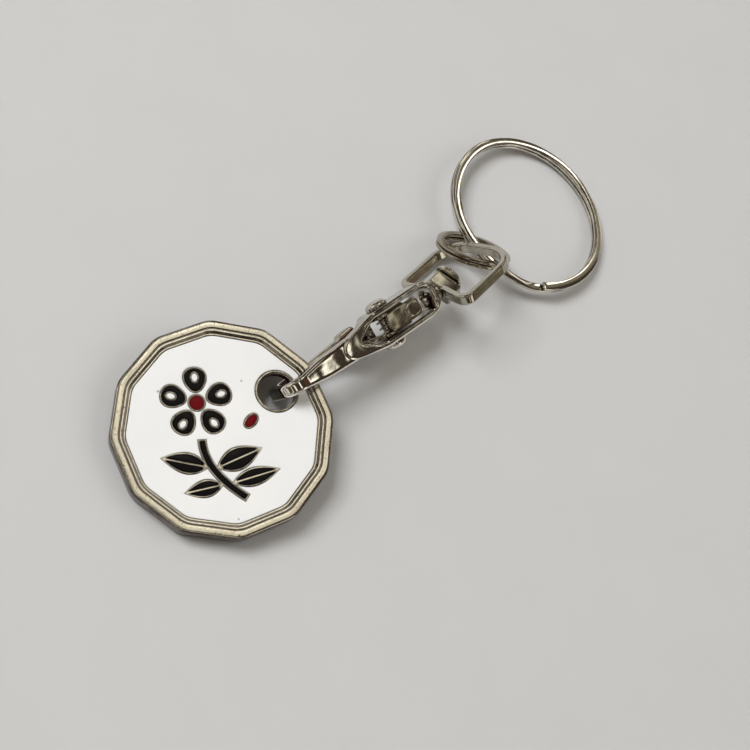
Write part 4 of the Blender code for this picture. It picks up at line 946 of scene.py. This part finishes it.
def bail():
    """The bail's loop and the boss that its rivet runs through."""
    section = rounded(BAIL_STRIP, BAIL_DEPTH, BAIL_ROUNDING)
    loops = []
    for x, y, turn in bail_path():
        aside, ahead = polar(1, turn)
        loops.append([(x + out * aside, y + out * ahead, up - BAIL_DROP) for out, up in section])
    loop = loft("bail_loop", loops, closed=True)
    start, length, width, depth, rounding = BOSS
    turn = Matrix.Rotation(BOSS_ROLL, 3, "X")
    boss = []
    for x, inset in (*BOSS_END, *((length - x, inset) for x, inset in BOSS_END[::-1])):
        points = rounded(width - 2 * inset, depth - 2 * inset, rounding, 8)
        boss.append([turn @ Vector((start + x, across - BOSS_SIDESTEP, up)) for across, up in points])
    loop = join(loop, loft("boss", boss))
    loop = cut(loop, rod(length * 3, SHANK_RADIUS + SHANK_CLEARANCE, Vector((start + length / 2, 0, 0))))
    return softened(loop, *BAIL_WEAR)


def split_ring(name, radius, width, height, gap, rounding, phase):
    """One strip wound nearly twice round z, with a crank from its upper layer to its lower."""
    thick = (height - gap) / 2
    rise = (thick + gap) / 2
    section = rounded(width - 2 * RING_SLACK, thick - 2 * RING_SLACK, rounding, 5)
    middle = radius - width / 2
    stops = [CIRCLE * i / RING_STEPS for i in range(RING_STEPS * 2)]
    stops = [angle for angle in stops if angle < RING_END] + [RING_END]
    loops = []
    for angle in stops:
        start, end = RING_CRANK
        t = min(max((angle - start) / (end - start), 0), 1)
        z = rise * (1 - 2 * t * t * (3 - 2 * t))
        turn = angle + phase
        twist = RING_TWIST * (sin(2 * turn + 1.1) + 0.6 * sin(5 * turn))
        loops.append([(*polar(middle + out, turn), z + up + out * twist) for out, up in section])
    # Both ends narrow. The last one narrows from the section before it, so it is slightly cupped.
    for ring, step in ((loops[0], -RING_TIP), (loops[-2], RING_TIP)):
        centre = sum((Vector(point) for point in ring), Vector()) / len(ring)
        drawn = []
        for point in ring:
            inward = centre.lerp(Vector(point), RING_TIP_SHARE)
            shift = atan2(inward.y, inward.x) + step / middle
            drawn.append((*polar(hypot(inward.x, inward.y), shift), inward.z))
        loops.insert(0 if step < 0 else len(loops), drawn)
    return loft(name, loops)


# Places.
def euler(yaw, pitch, roll):
    """A turn about x by the roll, then about y by the pitch, then about z by the yaw."""
    turn = Matrix.Rotation(yaw, 4, "Z") @ Matrix.Rotation(pitch, 4, "Y")
    return turn @ Matrix.Rotation(roll, 4, "X")


def places():
    """Each group's frame in the row frame, in millimetres."""
    lean = Matrix.Rotation(-COIN_LEAN, 4, "Y")
    normal = lean @ Vector((0, 0, 1))
    field = COIN_THICKNESS - ENAMEL_DROP
    height = COIN_ACROSS / 2 * sin(COIN_LEAN) + field * cos(COIN_LEAN)
    centre = Vector((0, 0, height)) - normal * field
    token = Matrix.Translation(centre) @ lean
    hole = token @ Vector((HOLE_OFFSET, -HOLE_SIDESTEP, COIN_THICKNESS / 2))
    clip = Matrix.Translation(hole + CLIP_OFFSET) @ euler(*CLIP_TURN)
    swivel = Matrix.Translation(clip @ SWIVEL_AT) @ euler(*BAIL_TURN)
    bar = swivel @ Vector((BAIL_BASE_X + BAIL_LENGTH - BAIL_STRIP / 2, 0, -BAIL_DROP))
    small_at = bar + SMALL_RING_FROM_BAR
    small = Matrix.Translation(small_at) @ euler(*SMALL_RING_TURN, 0)
    lead, azimuth, drop = LARGE_LEAD
    large_at = small_at + euler(azimuth, drop, 0) @ Vector((LARGE_RING[0] + lead, 0, 0))
    large = Matrix.Translation(large_at) @ euler(*LARGE_RING_TURN, 0)
    found = {"token": token, "clip": clip, "swivel": swivel, "small": small, "large": large}
    return {name: Matrix.Translation(ROOT_SHIFT) @ world for name, world in found.items()}


# Materials.
class Graph:
    """A material's or the world's nodes, with short ways to add and join them."""

    def __init__(self, owner):
        owner.use_nodes = True
        self.tree = owner.node_tree

    def add(self, kind, *inputs, **settings):
        """A new node. A setting named like one of its sockets goes into that socket."""
        node = self.tree.nodes.new("ShaderNode" + kind)
        for name, value in settings.items():
            if name in node.inputs:
                self.put(node.inputs[name], value)
            else:
                setattr(node, name, value)
        for i, value in enumerate(inputs):
            self.put(node.inputs[i], value)
        return node

    def put(self, socket, value):
        if isinstance(value, bpy.types.NodeSocket):
            self.tree.links.new(value, socket)
        else:
            socket.default_value = value

    def maths(self, operation, *values):
        """The operation on one or two values, or on more of them in turn."""
        made = self.add("Math", *values[:2], operation=operation).outputs[0]
        return self.maths(operation, made, *values[2:]) if values[2:] else made

    def span(self, value, low, high, to_low, to_high, kind="LINEAR"):
        node = self.add("MapRange", value, low, high, to_low, to_high, interpolation_type=kind)
        return node.outputs[0]

    def noise(self, vector, scale, detail=2.0, rough=0.5):
        return self.add("TexNoise", Vector=vector, Scale=scale, Detail=detail, Roughness=rough).outputs[0]

    def blend(self, share, a, b, mode="MIX"):
        node = self.add("Mix", data_type="RGBA", blend_type=mode)
        for i, value in ((0, share), (6, a), (7, b)):
            self.put(node.inputs[i], value)
        return node.outputs[2]

    def attribute(self, name, output):
        return self.add("Attribute", attribute_name=name).outputs[output]

    def round_z(self, vector, across, along):
        """Coordinates that run along circles round z, for marks left by winding and polishing."""
        x, y, z = self.add("SeparateXYZ", vector).outputs
        squares = [self.maths("MULTIPLY", part, part) for part in (x, y)]
        size = self.maths("SQRT", self.maths("ADD", *squares))
        turn = self.maths("ARCTAN2", y, x)
        parts = [self.maths("MULTIPLY", *part) for part in ((size, across), (z, across), (turn, along))]
        return self.add("CombineXYZ", *parts).outputs[0]

    def bump(self, height, strength, depth):
        return self.add("Bump", Strength=strength, Distance=depth * MM, Height=height).outputs[0]


def surface(name):
    """A new material, its graph and its shader's sockets."""
    made = bpy.data.materials.new(name)
    graph = Graph(made)
    return made, graph, graph.tree.nodes["Principled BSDF"].inputs


def plating(
        name, rough, peel, scratch, grime_and_shade, cavity=0.45, tint=NICKEL, tarnish_and_shade=TARNISH_AND_SHADE,
        stretch=(2500, 9000, 9000), round_ring=None, grain=0.1, aside=0.45, even=0.55):
    """Nickel plate, scratched and uneven, with tarnish patches, grime and painted shade in its corners, and a
    painted dark reflection where it looks aside.
    """
    made, graph, sockets = surface(name + "_plate")
    place = graph.attribute("own", "Vector")
    skin = graph.noise(place, PEEL_SCALE, 1, 0.4)
    if round_ring:
        marks_at = graph.round_z(place, *round_ring)
    else:
        marks_at = graph.add("VectorMath", place, stretch, operation="MULTIPLY").outputs[0]
    marks = graph.noise(marks_at, 1.0, 4, 0.6)
    spots = graph.noise(place, SPOT_SCALE)
    near = graph.add("AmbientOcclusion", samples=8, Distance=cavity * MM)
    # Ambient occlusion darkens corners and grooves, partly as grime and partly as painted shade.
    corner_grime_and_shade = graph.span(near.outputs["AO"], 0.3, 0.85, grime_and_shade, 0.0)
    worn = graph.span(graph.noise(place, PATCH_SCALE), 0.4, 0.75, 0.0, 0.14)
    specks = graph.span(spots, 0.6, 0.75, 0.0, grain * 2)
    # Faces that look aside are darkened in patches, by the strength given as aside: a painted dark reflection
    # of the room.
    side_shade_patches = graph.span(graph.noise(place, CLOUD_SCALE, 3, 0.6), 0.35, 0.6, even, 1.0)
    side = graph.maths("MULTIPLY", graph.attribute("side", "Fac"), side_shade_patches, aside)
    stain_and_shade = graph.maths("MAXIMUM", corner_grime_and_shade, worn, specks, side)
    graph.put(sockets["Base Color"], graph.blend(stain_and_shade, (*tint, 1), (*tarnish_and_shade, 1)))
    sockets["Metallic"].default_value = 1.0
    rougher = (graph.span(marks, 0.52, 0.72, 0.0, scratch * 0.3), graph.maths("MULTIPLY", corner_grime_and_shade, 0.2))
    graph.put(sockets["Roughness"], graph.maths("ADD", *rougher, graph.span(skin, 0.3, 0.75, *rough)))
    weights = ((skin, peel), (marks, scratch * 0.05), (spots, grain * 0.12))
    height = graph.maths("ADD", *[graph.maths("MULTIPLY", *part) for part in weights])
    graph.put(sockets["Normal"], graph.bump(height, 1.0, PLATE_DEPTH))
    return made


def enamel(name, colour, deep, rough):
    """Glossy enamel with a faint ripple, dust and pinholes."""
    made, graph, sockets = surface(name + "_glaze")
    place = graph.attribute("own", "Vector")
    ripple = graph.noise(place, RIPPLE_SCALE)
    specks = graph.add("TexVoronoi", feature="F1", Vector=place, Scale=DUST_SCALE).outputs
    size = graph.add("SeparateColor", specks["Color"]).outputs[0]
    dust = graph.maths("LESS_THAN", specks["Distance"], graph.span(size, 0.86, 1.0, 0.0, 0.11))
    clouds = graph.span(graph.noise(place, TINT_SCALE, 3), 0.35, 0.7, 0.0, 1.0)
    base = graph.blend(clouds, colour, deep)
    graph.put(sockets["Base Color"], graph.blend(graph.maths("MULTIPLY", dust, 0.55), base, DUST))
    graph.put(sockets["Roughness"], graph.span(ripple, 0.3, 0.75, rough * 0.6, rough * 1.7))
    sockets["IOR"].default_value = 1.5
    sockets["Specular IOR Level"].default_value = ENAMEL_SHINE
    height = graph.maths("ADD", ripple, graph.maths("MULTIPLY", dust, -0.6))
    graph.put(sockets["Normal"], graph.bump(height, 0.3, RIPPLE_DEPTH))
    return made


# Assembly.
def triples(items, name):
    values = np.empty(len(items) * 3, np.float32)
    items.foreach_get(name, values)
    return values


def set_in(piece, world, body, look, nodes, sharp=SHARP_TURNED, crisp=False, other=None):
    """Sets a piece made in millimetres in its place, gives it its look, ties it to its body and hides the CAD
    nodes that it stands in for.

    With another body given, the piece is baked into place and tied to no body. For the looks, the mesh keeps
    its points in the piece's own frame, and how far its faces, or else its points, look aside.
    """
    mesh = piece.data
    mesh.transform(Matrix.Scale(MM, 4))
    own = mesh.attributes.new("own", "FLOAT_VECTOR", "POINT")
    own.data.foreach_set("vector", triples(mesh.vertices, "co"))
    normals, domain = (mesh.polygon_normals, "FACE") if crisp else (mesh.vertex_normals, "POINT")
    slope, least = SIDE_SHADE_CRISP if crisp else SIDE_SHADE_SOFT
    # The side value, which the plating turns into painted dark reflection.
    aside = (1 - np.maximum(triples(normals, "vector")[2::3], 0)) * slope - least
    mesh.attributes.new("side", "FLOAT", domain).data.foreach_set("value", np.clip(aside, 0, 1))
    place = world.copy()
    place.translation = world.translation * MM
    mesh.transform(place)
    mesh.materials.clear()
    mesh.materials.append(look)
    mesh.shade_smooth()
    mesh.set_sharp_from_angle(angle=sharp)
    bpy.context.view_layer.update()
    if other:
        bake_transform(piece)
    else:
        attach(piece, body)
    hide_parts(*nodes)


def build_token(at):
    body = coin_metal()
    # The token's dark red-brown tone and full strengths paint shade into its grooves and dark red reflections
    # onto its slopes and sides, along with tarnish.
    look = plating(
        "token", (0.12, 0.24), peel=0.3, scratch=0.4, grime_and_shade=1.0, cavity=0.5,
        tarnish_and_shade=(0.05, 0.022, 0.015), round_ring=(7000, 24), grain=0.5, aside=1.0, even=0.85,
    )
    set_in(body, at["token"], "token", look, ["coin_body"], SHARP_TOKEN, crisp=True)
    looks = {colour: enamel(colour, *values) for colour, values in ENAMELS.items()}
    for node, piece, colour in enamel_fills():
        piece.name = node.replace("enamel", "glaze")
        set_in(piece, at["token"], "token", looks[colour], [node], SHARP_ENAMEL)


def build_clip(at):
    clip, swivel = at["clip"], at["swivel"]
    cast = plating(
        "cast", (0.015, 0.05), peel=0.9, scratch=0.1, grime_and_shade=0.9, cavity=0.9,
        stretch=(1200, 8000, 8000), aside=0.55,
    )
    set_in(clip_casting(), clip, "clip", cast, ["hook_body"], SHARP_CAST)
    lever = plating(
        "lever", (0.02, 0.07), peel=0.45, scratch=0.1, grime_and_shade=0.9, cavity=1.2, tint=(0.74, 0.7, 0.6),
    )
    set_in(gate(), clip, "gate", lever, ["gate_lever"], SHARP_CAST)
    pin = plating("pin", (0.02, 0.07), peel=1.2, scratch=0.1, grime_and_shade=0.85, cavity=0.8)
    set_in(gate_rivet(), clip, "clip", pin, ["gate_rivet"])
    steel = plating("spring", (0.15, 0.28), peel=0.1, scratch=0.5, grime_and_shade=0.8, tint=(0.56, 0.55, 0.53))
    set_in(gate_spring(), clip, "clip", steel, ["gate_spring"], other="gate")
    set_in(swivel_rivet(), swivel, "clip", pin, ["swivel_rivet"])
    set_in(swivel_collar(), swivel, "clip", pin, ["swivel_collar"])


def build_links(at):
    # The bail's tint is darker than the nickel, as painted dark reflection on its arms.
    look = plating(
        "bail", (0.05, 0.11), peel=1.0, scratch=0.15, grime_and_shade=0.8, cavity=0.7, tint=(0.62, 0.59, 0.5),
    )
    set_in(bail(), at["swivel"], "bail", look, ["bail"], SHARP_CAST)
    for name, sizes in (("small", SMALL_RING), ("large", LARGE_RING)):
        look = plating(
            name + "_ring", (0.05, 0.1), peel=0.3, scratch=0.22, grime_and_shade=0.85, cavity=0.35,
            tint=RING_TINTS_AND_SHADE[name], round_ring=(5200, 4), aside=0.35,
        )
        ring = split_ring(name + "_ring_strip", *sizes)
        set_in(ring, at[name], name + "_ring", look, [name + "_split_ring"])


# Studio.
def floor():
    mesh = bpy.data.meshes.new("floor")
    corners = [(x * FLOOR_HALF, y * FLOOR_HALF, 0) for x, y in ((-1, -1), (1, -1), (1, 1), (-1, 1))]
    mesh.from_pydata(corners, [], [(0, 1, 2, 3)])
    look, graph, sockets = surface("floor_paper")
    place = graph.add("TexCoord").outputs["Object"]
    graph.put(sockets["Base Color"], graph.blend(graph.noise(place, FLOOR_SCALE, 3), *FLOOR_TONES))
    sockets["Roughness"].default_value = 0.75
    sockets["Specular IOR Level"].default_value = 0.2
    mesh.materials.append(look)
    made = placed("floor", mesh)
    made.location.z = -FLOOR_DROP


def card_share(graph, ray, way, width, height, soft):
    """The share of a soft-edged card in the room that a ray meets."""
    ahead = Vector(way).normalized()
    up = Vector((0, 1, 0) if ahead.z > HIGH_CARD else (0, 0, 1))
    side = up.cross(ahead).normalized()
    depth, across, rise = [
        graph.add("VectorMath", ray, tuple(axis), operation="DOT_PRODUCT").outputs["Value"]
        for axis in (ahead, side, ahead.cross(side))
    ]
    front = graph.maths("MAXIMUM", depth, 0.001)
    share = graph.maths("GREATER_THAN", depth, 0.0)
    for part, half in ((across, width / 2), (rise, height / 2)):
        off = graph.maths("ABSOLUTE", graph.maths("DIVIDE", part, front))
        inside = graph.span(off, half - soft, half + soft, 1.0, 0.0, "SMOOTHSTEP")
        share = graph.maths("MULTIPLY", share, inside)
    return share


def room():
    """The studio round the table: dark walls with patches on them, dark screens and soft bright cards."""
    world = bpy.data.worlds.new("room")
    bpy.context.scene.world = world
    graph = Graph(world)
    ray = graph.add("TexCoord").outputs["Generated"]
    walls = WALL_TONE
    for scale, detail, rough, low, high, tone in WALL_PATCHES:
        noise = graph.noise(ray, scale, detail, rough)
        walls = graph.blend(graph.span(noise, low, high, 0.0, 1.0, "SMOOTHSTEP"), walls, tone)
    for shade in SHADES:
        walls = graph.blend(card_share(graph, ray, *shade), walls, SHADE_TONE)
    for *card, colour in CARDS:
        light = graph.blend(card_share(graph, ray, *card), BLACK, (*colour, 1))
        walls = graph.blend(1.0, walls, light, "ADD")
    out = graph.tree.nodes["Background"].inputs
    graph.put(out["Color"], walls)
    out["Strength"].default_value = 1.0


def lamp(name, at, size, watts):
    data = bpy.data.lights.new(name, "AREA")
    data.size = size
    data.energy = watts
    data.color = LAMP_COLOUR
    made = placed(name, data)
    made.location = at
    made.rotation_euler = (-Vector(at)).to_track_quat("-Z", "Y").to_euler()
    made.visible_glossy = False


def camera():
    data = bpy.data.cameras.new("camera")
    data.lens = CAMERA_LENS
    data.clip_start = CAMERA_NEAR
    made = placed("camera", data)
    back = CAMERA_RIGHT.cross(CAMERA_UP)
    turn = Matrix((CAMERA_RIGHT, CAMERA_UP, back)).transposed().to_4x4()
    made.matrix_world = Matrix.Translation((CAMERA_AT + ROOT_SHIFT) * MM) @ turn
    bpy.context.scene.camera = made


def studio():
    floor()
    room()
    for each in LAMPS:
        lamp(*each)
    camera()
    bpy.context.scene.view_settings.view_transform = "Standard"


def main():
    at = places()
    studio()
    build_token(at)
    build_clip(at)
    build_links(at)


main()
